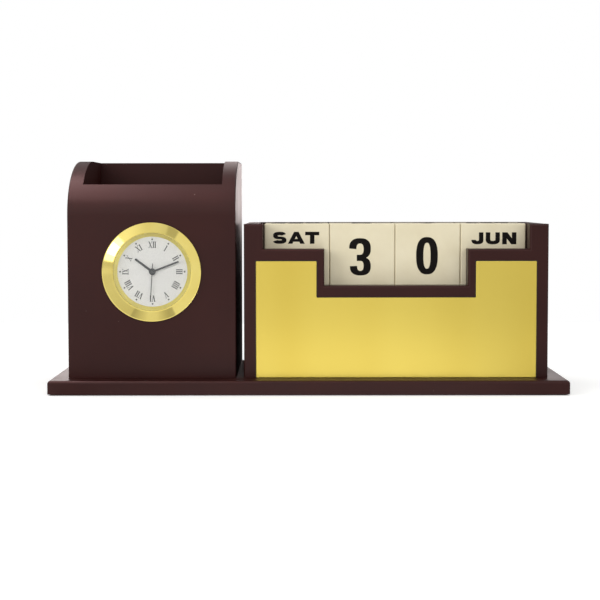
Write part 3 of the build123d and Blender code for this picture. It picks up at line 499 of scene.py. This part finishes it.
def plain_finish(name, dark, light, cell_mm, roughness, spread, relief_mm, metallic=0.0, ior=1.5):
    """A finish with one pattern: clouding between two colours, the same in its gloss, and a fine relief."""
    material, tree, output, place = start_material(name)
    cloud = add_node(tree, "ShaderNodeTexNoise",
                     {"Vector": place, "Scale": per_metre(cell_mm), "Detail": 3.0})
    colour = add_node(tree, "ShaderNodeValToRGB", {"Fac": cloud.outputs["Fac"]},
                      stops=((CLOUD_LOW, dark), (CLOUD_HIGH, light)))
    rough = add_node(tree, "ShaderNodeMapRange",
                     {"Value": cloud.outputs["Fac"], "From Min": CLOUD_LOW, "From Max": CLOUD_HIGH,
                      "To Min": roughness - spread, "To Max": roughness + spread})
    bump = add_node(tree, "ShaderNodeBump",
                    {"Height": cloud.outputs["Fac"], "Strength": 0.2, "Distance": relief_mm * MM})
    shader = add_node(tree, "ShaderNodeBsdfPrincipled",
                      {"Base Color": colour.outputs["Color"], "Metallic": metallic, "IOR": ior,
                       "Roughness": rough.outputs["Result"], "Normal": bump.outputs["Normal"]})
    tree.links.new(shader.outputs["BSDF"], output.inputs["Surface"])
    return material


def satin_brass():
    """Brass sheet brushed upright under a gold lacquer, which scatters part of the light and evens the gloss.

    The brush's lines are drawn out a hundredfold along Z, and the bands of colour between them sevenfold.
    """
    material, tree, output, place = start_material("brushed_brass_sheet")
    line_place = add_node(tree, "ShaderNodeMapping", {"Vector": place, "Scale": (1.0, 1.0, 0.01)})
    lines = add_node(tree, "ShaderNodeTexNoise",
                     {"Vector": line_place.outputs["Vector"], "Scale": per_metre(0.7), "Detail": 1.0})
    band_place = add_node(tree, "ShaderNodeMapping", {"Vector": place, "Scale": (1.0, 1.0, 0.15)})
    bands = add_node(tree, "ShaderNodeTexNoise",
                     {"Vector": band_place.outputs["Vector"], "Scale": per_metre(26), "Detail": 1.0})
    colour = add_node(tree, "ShaderNodeValToRGB", {"Fac": bands.outputs["Fac"]},
                      stops=((CLOUD_LOW, "#dec454"), (CLOUD_HIGH, "#e6ce5f")))
    rough = add_node(tree, "ShaderNodeMapRange",
                     {"Value": lines.outputs["Fac"], "From Min": CLOUD_LOW, "From Max": CLOUD_HIGH,
                      "To Min": 0.25, "To Max": 0.262})
    bump = add_node(tree, "ShaderNodeBump",
                    {"Height": lines.outputs["Fac"], "Strength": 0.005, "Distance": 0.01 * MM})
    shader = add_node(tree, "ShaderNodeBsdfPrincipled",
                      {"Base Color": colour.outputs["Color"], "Metallic": 0.6,
                       "Roughness": rough.outputs["Result"], "Normal": bump.outputs["Normal"]})
    tree.links.new(shader.outputs["BSDF"], output.inputs["Surface"])
    return material


def clear_lens():
    """Moulded acrylic: clear and smooth, with a faint ripple; lamps shine through it on to the dial."""
    material, tree, output, place = start_material("clear_acrylic")
    ripple = add_node(tree, "ShaderNodeTexNoise", {"Vector": place, "Scale": per_metre(6)})
    bump = add_node(tree, "ShaderNodeBump",
                    {"Height": ripple.outputs["Fac"], "Strength": 0.05, "Distance": 0.01 * MM})
    glass = add_node(tree, "ShaderNodeBsdfPrincipled",
                     {"Base Color": linear("#fdfdfb"), "Roughness": 0.02, "IOR": 1.49,
                      "Transmission Weight": 1.0, "Normal": bump.outputs["Normal"]})
    clear = add_node(tree, "ShaderNodeBsdfTransparent")
    path = add_node(tree, "ShaderNodeLightPath")
    mix = add_node(tree, "ShaderNodeMixShader",
                   {0: path.outputs["Is Shadow Ray"], 1: glass.outputs["BSDF"], 2: clear.outputs["BSDF"]})
    tree.links.new(mix.outputs["Shader"], output.inputs["Surface"])
    return material


FINISHES = {
    "lacquered_board": lacquered_board(),
    "satin_brass": satin_brass(),
    "clear_lens": clear_lens(),
    # Gold-plated brass, spun and polished: an even mirror with a slight haze
    "polished_brass": plain_finish(
        "polished_gold_plate", "#e2cd72", "#e8d67e",
        cell_mm=7, roughness=0.07, spread=0.01, relief_mm=0.0005, metallic=1.0),
    # The same plate bead-blasted on the dial's ring: a soft even sheen
    "satin_gold": plain_finish(
        "satin_gold_plate", "#f6e36e", "#fbea7a",
        cell_mm=3, roughness=0.34, spread=0.03, relief_mm=0.002, metallic=0.7),
    # Moulded ABS in ivory: even, slightly clouded, with a soft sheen
    "ivory_plastic": plain_finish(
        "ivory_moulded_abs", "#e2d7b7", "#e9dfc1",
        cell_mm=9, roughness=0.38, spread=0.04, relief_mm=0.004, ior=1.53),
    # Printed card: matt white with a fine tooth
    "dial_white": plain_finish(
        "white_printed_card", "#edecea", "#f3f2f0",
        cell_mm=0.8, roughness=0.6, spread=0.05, relief_mm=0.002, ior=1.45),
    # Dark grey enamel on stamped brass: smooth, with a soft sheen
    "hand_grey": plain_finish(
        "grey_enamel", "#2a2d2f", "#333638",
        cell_mm=1.5, roughness=0.42, spread=0.05, relief_mm=0.002),
    # Screen-printing ink: near black, slightly uneven
    "printed_black": plain_finish(
        "black_screen_ink", "#0a0706", "#110c0a",
        cell_mm=1.2, roughness=0.55, spread=0.06, relief_mm=0.003, ior=1.2),
    # Fine grey print on the dial: flat and a little uneven
    "printed_grey": plain_finish(
        "grey_dial_ink", "#24282a", "#2e3234",
        cell_mm=0.8, roughness=0.55, spread=0.05, relief_mm=0.002),
    # Dull black rim round the brass plate's edges: painted shadow for the dark line there
    "painted_shadow_rim": plain_finish(
        "painted_shadow_rim_black", "#120d0c", "#181211",
        cell_mm=2.0, roughness=0.6, spread=0.05, relief_mm=0.004),
    # Moulded rubber: dull black with a fine tooth
    "rubber": plain_finish(
        "black_moulded_rubber", "#161616", "#202020",
        cell_mm=1.0, roughness=0.75, spread=0.06, relief_mm=0.03, ior=1.52),
    # Zinc-plated steel: grey and slightly blotched
    "steel": plain_finish(
        "zinc_plated_steel", "#a9abad", "#bfc1c3",
        cell_mm=1.6, roughness=0.32, spread=0.06, relief_mm=0.004, metallic=1.0),
    # Moulded ABS in black, with a spark-eroded grain
    "black_plastic": plain_finish(
        "black_moulded_abs", "#141414", "#1c1c1c",
        cell_mm=0.6, roughness=0.5, spread=0.06, relief_mm=0.02, ior=1.53),
    # Moulded acetal in white, as watch wheels are: smooth and slightly waxy
    "white_plastic": plain_finish(
        "white_moulded_acetal", "#dcdad2", "#e6e4dd",
        cell_mm=1.5, roughness=0.42, spread=0.05, relief_mm=0.004, ior=1.48),
    # Stamped brass, grained by the press
    "movement_brass": plain_finish(
        "stamped_brass", "#cbb072", "#d8bf84",
        cell_mm=0.9, roughness=0.34, spread=0.06, relief_mm=0.004, metallic=1.0),
    # Annealed iron sheet: dull grey
    "soft_iron": plain_finish(
        "annealed_iron", "#8d8e91", "#a0a1a4",
        cell_mm=1.2, roughness=0.45, spread=0.06, relief_mm=0.004, metallic=1.0),
    # Enamelled copper wire, wound: a broken coppery shine
    "copper_wire": plain_finish(
        "enamelled_copper", "#b5622f", "#c7733c",
        cell_mm=0.5, roughness=0.33, spread=0.06, relief_mm=0.02, metallic=1.0),
    # Solder mask over glass epoxy: green with an even gloss
    "board_green": plain_finish(
        "green_solder_mask", "#125233", "#1a6340",
        cell_mm=1.4, roughness=0.35, spread=0.05, relief_mm=0.004),
    # Nickel-plated steel, drawn bright
    "bright_steel": plain_finish(
        "nickel_plated_steel", "#c9c7c1", "#d6d4ce",
        cell_mm=2.0, roughness=0.2, spread=0.04, relief_mm=0.003, metallic=1.0),
    # Sintered magnet: dark grey and grainy
    "ferrite": plain_finish(
        "sintered_ferrite", "#2b2b2d", "#39393b",
        cell_mm=0.5, roughness=0.6, spread=0.06, relief_mm=0.01, ior=1.8),
}

for part in frame["record"]["subparts"]:
    mesh = frame["nodes"][part["node"]].data
    mesh.materials.clear()
    mesh.materials.append(FINISHES[part["material_slot"]])


# Calendar cubes

def print_cube(name):
    """Letters all six faces of a cube. Words go in pairs, the second upside down below the first."""
    low, high = (np.array(corner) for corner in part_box(name + "_cube"))
    middle, half = (low + high) / 2, (high - low) / 2
    patches = []
    for face, (side, (right, up)) in enumerate(FACES.items()):
        right, up = np.array(right, float), np.array(up, float)
        out = np.cross(right, up)
        shift = PRINT_SHIFT[name] if side == "front" else (0.0, 0.0)
        centre = middle + out * (half + INK_STANDS_PROUD) + right * shift[0] * MM + up * shift[1] * MM
        if name in DIGITS:
            strokes = word_strokes(DIGITS[name][face], digit_strokes, 0.0)
            patches += laid_on(strokes, DIGIT_HEIGHT, centre, right, up)
            continue
        for word, sense in zip(WORDS[name][face], (1, -1)):
            if word:
                strokes = word_strokes(word, letter_strokes, LETTER_GAP)
                place = centre + sense * WORD_RISE * up
                patches += laid_on(strokes, WORD_HEIGHT, place, sense * right, sense * up)
    ink_piece(name + "_cube_print", patches, FINISHES["printed_black"], name)


for cube in CUBES:
    print_cube(cube)


# Insert clock

def clock_bezel():
    """A dish turned round the clock's axis: rim, slope in to the lip, lens seat, skirt and shoulder."""
    lip = PEN_BOX_FRONT + LIP_DEPTH
    shoulder = PEN_BOX_FRONT + SHOULDER_DEPTH
    section = np.array((
        (BEZEL_RADIUS, PEN_BOX_FRONT, INNER_ROUND),
        (BEZEL_RADIUS, BEZEL_LOW.y, RIM_ROUND),
        (LIP_OUTER, lip, LIP_ROUND),
        (LIP_INNER, lip, LIP_ROUND),
        (LIP_INNER, LENS_LOW.y, INNER_ROUND),
        (LENS_RADIUS, LENS_LOW.y, INNER_ROUND),
        (LENS_RADIUS, BEZEL_HIGH.y, INNER_ROUND),
        (SKIRT_RADIUS, BEZEL_HIGH.y, INNER_ROUND),
        (SKIRT_RADIUS, shoulder, INNER_ROUND),
        (SHOULDER_RADIUS, shoulder, INNER_ROUND),
        (SHOULDER_RADIUS, PEN_BOX_FRONT, INNER_ROUND),
    ))
    points = turned(rounded_outline(section[:, :2], section[:, 2:]))
    faces = grid_faces(*points.shape[:2], closed=True)
    gold = FINISHES["polished_brass"]
    piece = add_piece("bezel_turned", points, faces, gold, "clock_insert")
    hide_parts("clock_bezel")
    return piece


def dial_ring():
    """A wedge turned round the dial: its inner side slopes from the lens down to the dial."""
    outline = [
        (SKIRT_RADIUS, RING_LOW.y),
        (RING_MOUTH, RING_LOW.y),
        (RING_FOOT, RING_HIGH.y),
        (SKIRT_RADIUS, RING_HIGH.y),
    ]
    points = turned(rounded_outline(outline, INNER_ROUND))
    faces = grid_faces(*points.shape[:2], closed=True)
    gold = FINISHES["satin_gold"]
    piece = add_piece("dial_ring_turned", points, faces, gold, "clock_insert")
    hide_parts("dial_ring")


def dial_marks():
    """Twelve dots and twelve numerals, each numeral's feet towards the middle."""
    patches = []
    middle = np.array([CLOCK_CENTRE[0], DIAL_FRONT - INK_STANDS_PROUD, CLOCK_CENTRE[1]])
    dot = [bowl((-1, 1, -1, 1), 1, (1, 1), FULL_TURN)]
    for hour, numeral in enumerate(HOURS):
        turn = math.radians(360.0 / len(HOURS) * hour)
        up = np.array([math.sin(turn), 0.0, math.cos(turn)])
        right = np.array([math.cos(turn), 0.0, -math.sin(turn)])
        patches += laid_on(dot, DOT_RADIUS, middle + DOT_CIRCLE * up, right, up)
        strokes = word_strokes(numeral, numeral_strokes, NUMERAL_GAP)
        patches += laid_on(strokes, NUMERAL_HEIGHT, middle + NUMERAL_CIRCLE * up, right, up)
    ink_piece("dial_print", patches, FINISHES["printed_grey"], "clock_insert")


bezel = clock_bezel()
dial_ring()
dial_marks()


# Brass plate

def stepped_outline(grow):
    """Corners of the brass plate's stepped outline, each moved outwards by the same margin both ways."""
    low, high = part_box("brass_plate")
    middle = (low.x + high.x) / 2
    notch = NOTCH_HALF_WIDTH - grow
    sill = high.z - NOTCH_DEPTH + grow
    left, right, bottom, top = low.x - grow, high.x + grow, low.z - grow, high.z + grow
    return np.array([
        (left, bottom), (right, bottom), (right, top), (middle + notch, top),
        (middle + notch, sill), (middle - notch, sill), (middle - notch, top), (left, top),
    ])


def add_painted_shadow_rim():
    """Painted shadow round the brass plate: a flat black rim, a small rectangle carried along the plate's
    stepped outline.
    """
    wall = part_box("brass_plate")[1].y
    section = ((0.0, 0.0), (SHADOW_RIM_MARGIN, 0.0), (SHADOW_RIM_MARGIN, SHADOW_RIM_THICKNESS), (0.0, SHADOW_RIM_THICKNESS))
    rings = []
    for grow, rise in section:
        corners = stepped_outline(grow)
        depth = np.full(len(corners), wall - rise)
        rings.append(np.stack([corners[:, 0], depth, corners[:, 1]], axis=-1))
    points = np.stack(rings)
    faces = grid_faces(*points.shape[:2], closed=True)
    add_piece("plate_painted_shadow_rim", points, faces, FINISHES["painted_shadow_rim"], "organizer", smooth=False)


add_painted_shadow_rim()


# Stage

def tent_level(tree, across, rise):
    """Brightness of the panels in a direction, looked up by the arctangent of rise over across."""
    turn = add_node(tree, "ShaderNodeMath", {0: rise, 1: across}, operation="ARCTAN2")
    share = add_node(tree, "ShaderNodeMapRange",
                     {"Value": turn.outputs["Value"], "From Min": -math.pi, "From Max": math.pi})
    stops = [((degrees + 180) / 360, level / BRIGHTEST_PANEL) for degrees, level in TENT_PANELS]
    panels = add_node(tree, "ShaderNodeValToRGB", {"Fac": share.outputs["Result"]}, stops=stops)
    level = add_node(tree, "ShaderNodeMath", {0: panels.outputs["Color"], 1: BRIGHTEST_PANEL},
                     operation="MULTIPLY")
    return level.outputs["Value"]


def plain_sight(tree, path):
    """One for rays that the camera sends, straight or through the lens, and zero for the rest."""
    seen = add_node(tree, "ShaderNodeMath",
                    {0: path.outputs["Is Camera Ray"], 1: path.outputs["Is Transmission Ray"]},
                    operation="MAXIMUM")
    return seen.outputs["Value"]


def whitening(tree, place):
    """Light of the floor's own by place: none under the base board, where its shadow stays.

    A point's distance past the board is its offset from the board's middle less half the board's size, by
    whichever of X and Y is more.
    """
    low, high = (np.array(corner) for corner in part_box("base_board"))
    offset = add_node(tree, "ShaderNodeVectorMath", {0: place, 1: (low + high) / 2}, operation="SUBTRACT")
    apart = add_node(tree, "ShaderNodeVectorMath", {0: offset.outputs["Vector"]}, operation="ABSOLUTE")
    beyond = add_node(tree, "ShaderNodeVectorMath", {0: apart.outputs["Vector"], 1: (high - low) / 2},
                      operation="SUBTRACT")
    edges = add_node(tree, "ShaderNodeSeparateXYZ", {"Vector": beyond.outputs["Vector"]})
    outside = add_node(tree, "ShaderNodeMath", {0: edges.outputs["X"], 1: edges.outputs["Y"]},
                       operation="MAXIMUM")
    light = add_node(tree, "ShaderNodeMapRange",
                     {"Value": outside.outputs["Value"], "From Min": -BASE_EDGE_BLEND, "From Max": 0.0,
                      "To Max": FLOOR_WHITENING})
    return light.outputs["Result"]


def mirrored_floor(tree, place):
    """Brightness of the floor in shiny surfaces: the tent's panels times the share that the floor keeps."""
    axes = add_node(tree, "ShaderNodeSeparateXYZ", {"Vector": place})
    across = add_node(tree, "ShaderNodeMath", {0: axes.outputs["X"], 1: CLOCK_CENTRE[0]},
                      operation="SUBTRACT")
    panels = tent_level(tree, across.outputs["Value"], -CLOCK_CENTRE[1])
    along = add_node(tree, "ShaderNodeMapRange",
                     {"Value": axes.outputs["Y"], "From Min": FLOOR_FRONT, "From Max": FLOOR_BACK})
    stops = [((y - FLOOR_FRONT) / (FLOOR_BACK - FLOOR_FRONT), share) for y, share in FLOOR_GLOW]
    fade = add_node(tree, "ShaderNodeValToRGB", {"Fac": along.outputs["Result"]}, stops=stops)
    side = add_node(tree, "ShaderNodeMapRange",
                    {"Value": axes.outputs["X"], "From Min": FLOOR_SIDE_START, "From Max": FLOOR_SIDE_FULL})
    share = add_node(tree, "ShaderNodeMath", {0: fade.outputs["Color"], 1: side.outputs["Result"]},
                     operation="MAXIMUM")
    level = add_node(tree, "ShaderNodeMath", {0: panels, 1: share.outputs["Value"]}, operation="MULTIPLY")
    return level.outputs["Value"]


def paper_sweep():
    """Matt white paper: keeps the object's shadow, shows white to the camera and as pale boards in metal."""
    material, tree, output, place = start_material("white_paper_sweep")
    path = add_node(tree, "ShaderNodeLightPath")
    glow = add_node(tree, "ShaderNodeMath", {0: plain_sight(tree, path), 1: whitening(tree, place)},
                    operation="MULTIPLY")
    paper = add_node(tree, "ShaderNodeBsdfPrincipled",
                     {"Base Color": linear("#f4f4f2"), "Roughness": 0.9, "Emission Color": (*WHITE, 1.0),
                      "Emission Strength": glow.outputs["Value"]})
    mirrored = add_node(tree, "ShaderNodeEmission",
                        {"Color": (*WHITE, 1.0), "Strength": mirrored_floor(tree, place)})
    mix = add_node(tree, "ShaderNodeMixShader",
                   {0: path.outputs["Is Glossy Ray"], 1: paper.outputs["BSDF"],
                    2: mirrored.outputs["Emission"]})
    tree.links.new(mix.outputs["Shader"], output.inputs["Surface"])
    return material


def white_stage():
    """A flat floor of paper under the object."""
    mesh = bpy.data.meshes.new("floor")
    corners = [(-FLOOR_HALF_WIDTH, FLOOR_FRONT, 0), (FLOOR_HALF_WIDTH, FLOOR_FRONT, 0),
               (FLOOR_HALF_WIDTH, FLOOR_BACK, 0), (-FLOOR_HALF_WIDTH, FLOOR_BACK, 0)]
    mesh.from_pydata(corners, [], [(0, 1, 2, 3)])
    mesh.materials.append(paper_sweep())
    floor = bpy.data.objects.new("floor", mesh)
    bpy.context.scene.collection.objects.link(floor)


def tent_light(tree, direction, axes):
    """Brightness of the tent: the panels in their band, and elsewhere the ramp round the dim spot.

    The ramp's place is half of one less the cosine of the angle from the dim spot.
    """
    panels = tent_level(tree, axes.outputs["X"], axes.outputs["Z"])
    depth = add_node(tree, "ShaderNodeMapRange", {"Value": axes.outputs["Y"], "From Min": -1.0})
    facing = add_node(tree, "ShaderNodeVectorMath", {0: direction, 1: DIM_SPOT}, operation="DOT_PRODUCT")
    around = add_node(tree, "ShaderNodeMapRange",
                      {"Value": facing.outputs["Value"], "From Min": 1.0, "From Max": -1.0})
    plain = add_node(tree, "ShaderNodeValToRGB", {"Fac": around.outputs["Result"]},
                     stops=[(place, level / BRIGHTEST_PANEL) for place, level in TENT_DEPTH])
    even = add_node(tree, "ShaderNodeMath", {0: plain.outputs["Color"], 1: BRIGHTEST_PANEL},
                    operation="MULTIPLY")
    band = add_node(tree, "ShaderNodeValToRGB", {"Fac": depth.outputs["Result"]}, stops=PANEL_BAND)
    lit = add_node(tree, "ShaderNodeMix",
                   {"Factor": band.outputs["Color"], "A": even.outputs["Value"], "B": panels})
    return lit.outputs["Result"]


def tent_shade(tree, axes):
    """Share of the tent's light by direction. Only the back is darker: low down, and in its strip."""
    under = add_node(tree, "ShaderNodeMapRange",
                     {"Value": axes.outputs["Z"], "From Min": BACK_LOW, "From Max": BACK_HIGH,
                      "To Min": BACK_DARK_SHARE, "To Max": 1.0})
    ahead = add_node(tree, "ShaderNodeMapRange",
                     {"Value": axes.outputs["Y"], "From Min": 0.0, "From Max": BACK_FULL,
                      "To Min": 1.0, "To Max": 0.0})
    aside = add_node(tree, "ShaderNodeMath", {0: axes.outputs["X"], 1: STRIP_MIDDLE}, operation="SUBTRACT")
    apart = add_node(tree, "ShaderNodeMath", {0: aside.outputs["Value"]}, operation="ABSOLUTE")
    strip = add_node(tree, "ShaderNodeMapRange",
                     {"Value": apart.outputs["Value"], "From Min": STRIP_INNER, "From Max": STRIP_OUTER})
    back = add_node(tree, "ShaderNodeMath", {0: under.outputs["Result"], 1: strip.outputs["Result"]},
                    operation="MULTIPLY")
    shade = add_node(tree, "ShaderNodeMath", {0: back.outputs["Value"], 1: ahead.outputs["Result"]},
                     operation="MAXIMUM")
    return shade.outputs["Value"]


def studio_world():
    """White to the camera, to glossy rays a white tent with a dim spot, and an even fill for the rest."""
    world = bpy.data.worlds.new("studio")
    world.use_nodes = True
    tree = world.node_tree
    tree.nodes.clear()
    output = add_node(tree, "ShaderNodeOutputWorld")
    direction = add_node(tree, "ShaderNodeTexCoord").outputs["Generated"]
    axes = add_node(tree, "ShaderNodeSeparateXYZ", {"Vector": direction})
    path = add_node(tree, "ShaderNodeLightPath")
    again = add_node(tree, "ShaderNodeMapRange",
                     {"Value": path.outputs["Glossy Depth"], "From Min": 1.0, "From Max": 2.0,
                      "To Min": 1.0, "To Max": SECOND_MIRRORING})
    dimmed = add_node(tree, "ShaderNodeMath", {0: tent_shade(tree, axes), 1: again.outputs["Result"]},
                      operation="MULTIPLY")
    tent = add_node(tree, "ShaderNodeMath",
                    {0: tent_light(tree, direction, axes), 1: dimmed.outputs["Value"]}, operation="MULTIPLY")
    rest = add_node(tree, "ShaderNodeMapRange",
                    {"Value": plain_sight(tree, path), "To Min": AMBIENT_LEVEL, "To Max": 1.0})
    strength = add_node(tree, "ShaderNodeMix",
                        {"Factor": path.outputs["Is Glossy Ray"], "A": rest.outputs["Result"],
                         "B": tent.outputs["Value"]})
    back = add_node(tree, "ShaderNodeBackground",
                    {"Color": (*WHITE, 1.0), "Strength": strength.outputs["Result"]})
    tree.links.new(back.outputs["Background"], output.inputs["Surface"])
    bpy.context.scene.world = world


# Lamps and camera

def softbox(name, place, aim, size, watts, colour, pieces, mirrored):
    """A lamp that faces a point and isn't seen by the camera. It lights, or else is only mirrored in gloss.

    Where pieces are given, it reaches these alone.
    """
    lamp = bpy.data.lights.new(name, "AREA")
    lamp.shape = "RECTANGLE"
    lamp.size, lamp.size_y = size
    lamp.energy = watts
    lamp.color = colour
    holder = bpy.data.objects.new(name, lamp)
    holder.location = place
    towards = np.array(aim, float) - np.array(place, float)
    pitch = math.atan2(math.hypot(towards[0], towards[1]), -towards[2])
    holder.rotation_euler = (pitch, 0.0, math.atan2(-towards[0], towards[1]))
    holder.visible_camera = False
    holder.visible_glossy = mirrored
    holder.visible_diffuse = not mirrored
    holder.visible_transmission = False
    bpy.context.scene.collection.objects.link(holder)
    if pieces:
        lit = bpy.data.collections.new(name + "_lights")
        for piece in pieces:
            lit.objects.link(piece)
        holder.light_linking.receiver_collection = lit


def camera():
    """The photograph's camera. Its lens is the focal length's share of the image side, on the sensor."""
    lens = bpy.data.cameras.new("photo_camera")
    lens.sensor_width = SENSOR_MM
    lens.lens = FOCAL_LENGTH_PIXELS / IMAGE_SIDE_PIXELS * SENSOR_MM
    holder = bpy.data.objects.new("photo_camera", lens)
    holder.location = CAMERA_PLACE
    pitch = math.radians(90 + CAMERA_PITCH_DEGREES)
    holder.rotation_euler = (pitch, math.radians(CAMERA_ROLL_DEGREES), 0.0)
    bpy.context.scene.collection.objects.link(holder)
    bpy.context.scene.camera = holder


def solids(*names):
    """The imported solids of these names."""
    return [frame["nodes"][name] for name in names]


white_stage()
studio_world()

boards = solids(*(part["node"] for part in frame["record"]["subparts"]
                  if part["material_slot"] == "lacquered_board"))
plate = solids("brass_plate")
base = solids("base_board")
gap_side = solids("pen_right_side")
stile = solids("calendar_left_end", "calendar_front")
cubes = solids(*(cube + "_cube" for cube in CUBES))

# Lamps that light: name, place, aim, width and height, watts, tint, and the pieces where it isn't all of them
LIGHTING = (
    ("key_left", (-0.35, -0.3, 0.2), (-0.09, -0.02, 0.05), (0.25, 0.25), 0.7, WHITE, ()),
    ("front", (0.1, -1.05, 0.4), MIDDLE, (1.2, 0.8), 2.35, WHITE, ()),
    ("fill_right", (0.7, -0.6, 0.35), MIDDLE, (1.0, 1.0), 0.9, WHITE, ()),
    ("top", (0.0, 0.28, 0.9), MIDDLE, (0.9, 0.56), 2.2, WHITE, ()),
    # The lower part of the brass plate, and its foot
    ("plate_low", (0.035, -0.06, 0.009), (0.035, -0.03, 0.007), (0.2, 0.004), 0.008, WHITE, plate),
    ("plate_foot", (0.0323, -0.0301, 0.0057), (0.0323, -0.0286, 0.0057), (0.104, 0.0006), 0.0007, WHITE,
     plate),
)
# Lamps that are only mirrored, in the same columns
GLEAMS = (
    # Sheen on the pen box's left side and curved front
    ("sheen_left", (-0.2, -0.06, 0.42), (-0.09, -0.06, 0.08), (0.48, 0.16), 2.0, WARM_PINK, boards),
    # Glint on the clock's rim: its bright core and its paler ends
    ("rim_glint", GLINT_PLACE, GLINT_AIM, (0.010, 0.011), 0.0019, WHITE, [bezel]),
    ("rim_glint_fade", GLINT_PLACE, GLINT_AIM, (0.012, 0.024), 0.0018, WHITE, [bezel]),
    # Lamps behind, mirrored at a flat angle in the calendar's left stile, the cubes' tops and the base's ends
    ("back_stile", (-0.03, 0.85, 0.08), MIDDLE, (0.12, 0.08), 0.3, PALE_PINK, stile),
    ("back_cubes", (0.05, 0.45, 0.5), MIDDLE, (0.6, 0.35), 0.7, WHITE, cubes),
    ("back_left", (-0.2, 0.85, 0.11), MIDDLE, (0.16, 0.16), 0.4, PALE_PINK, base),
    ("back_right", (0.24, 0.85, 0.11), MIDDLE, (0.16, 0.16), 0.165, PALE_PINK, base),
    # The same in the pen box's right side above the calendar, and in its top edge
    ("back_centre", (0.06, 0.85, 0.092), MIDDLE, (0.2, 0.08), 0.27, PALE_PINK, gap_side),
    ("back_edge", (-0.06, 0.5, 0.34), MIDDLE, (0.3, 0.36), 0.55, PALE_PINK, gap_side),
)
for lamp in LIGHTING:
    softbox(*lamp, mirrored=False)
for lamp in GLEAMS:
    softbox(*lamp, mirrored=True)

camera()
bpy.context.scene.view_settings.view_transform = "Standard"

bpy.context.view_layer.update()
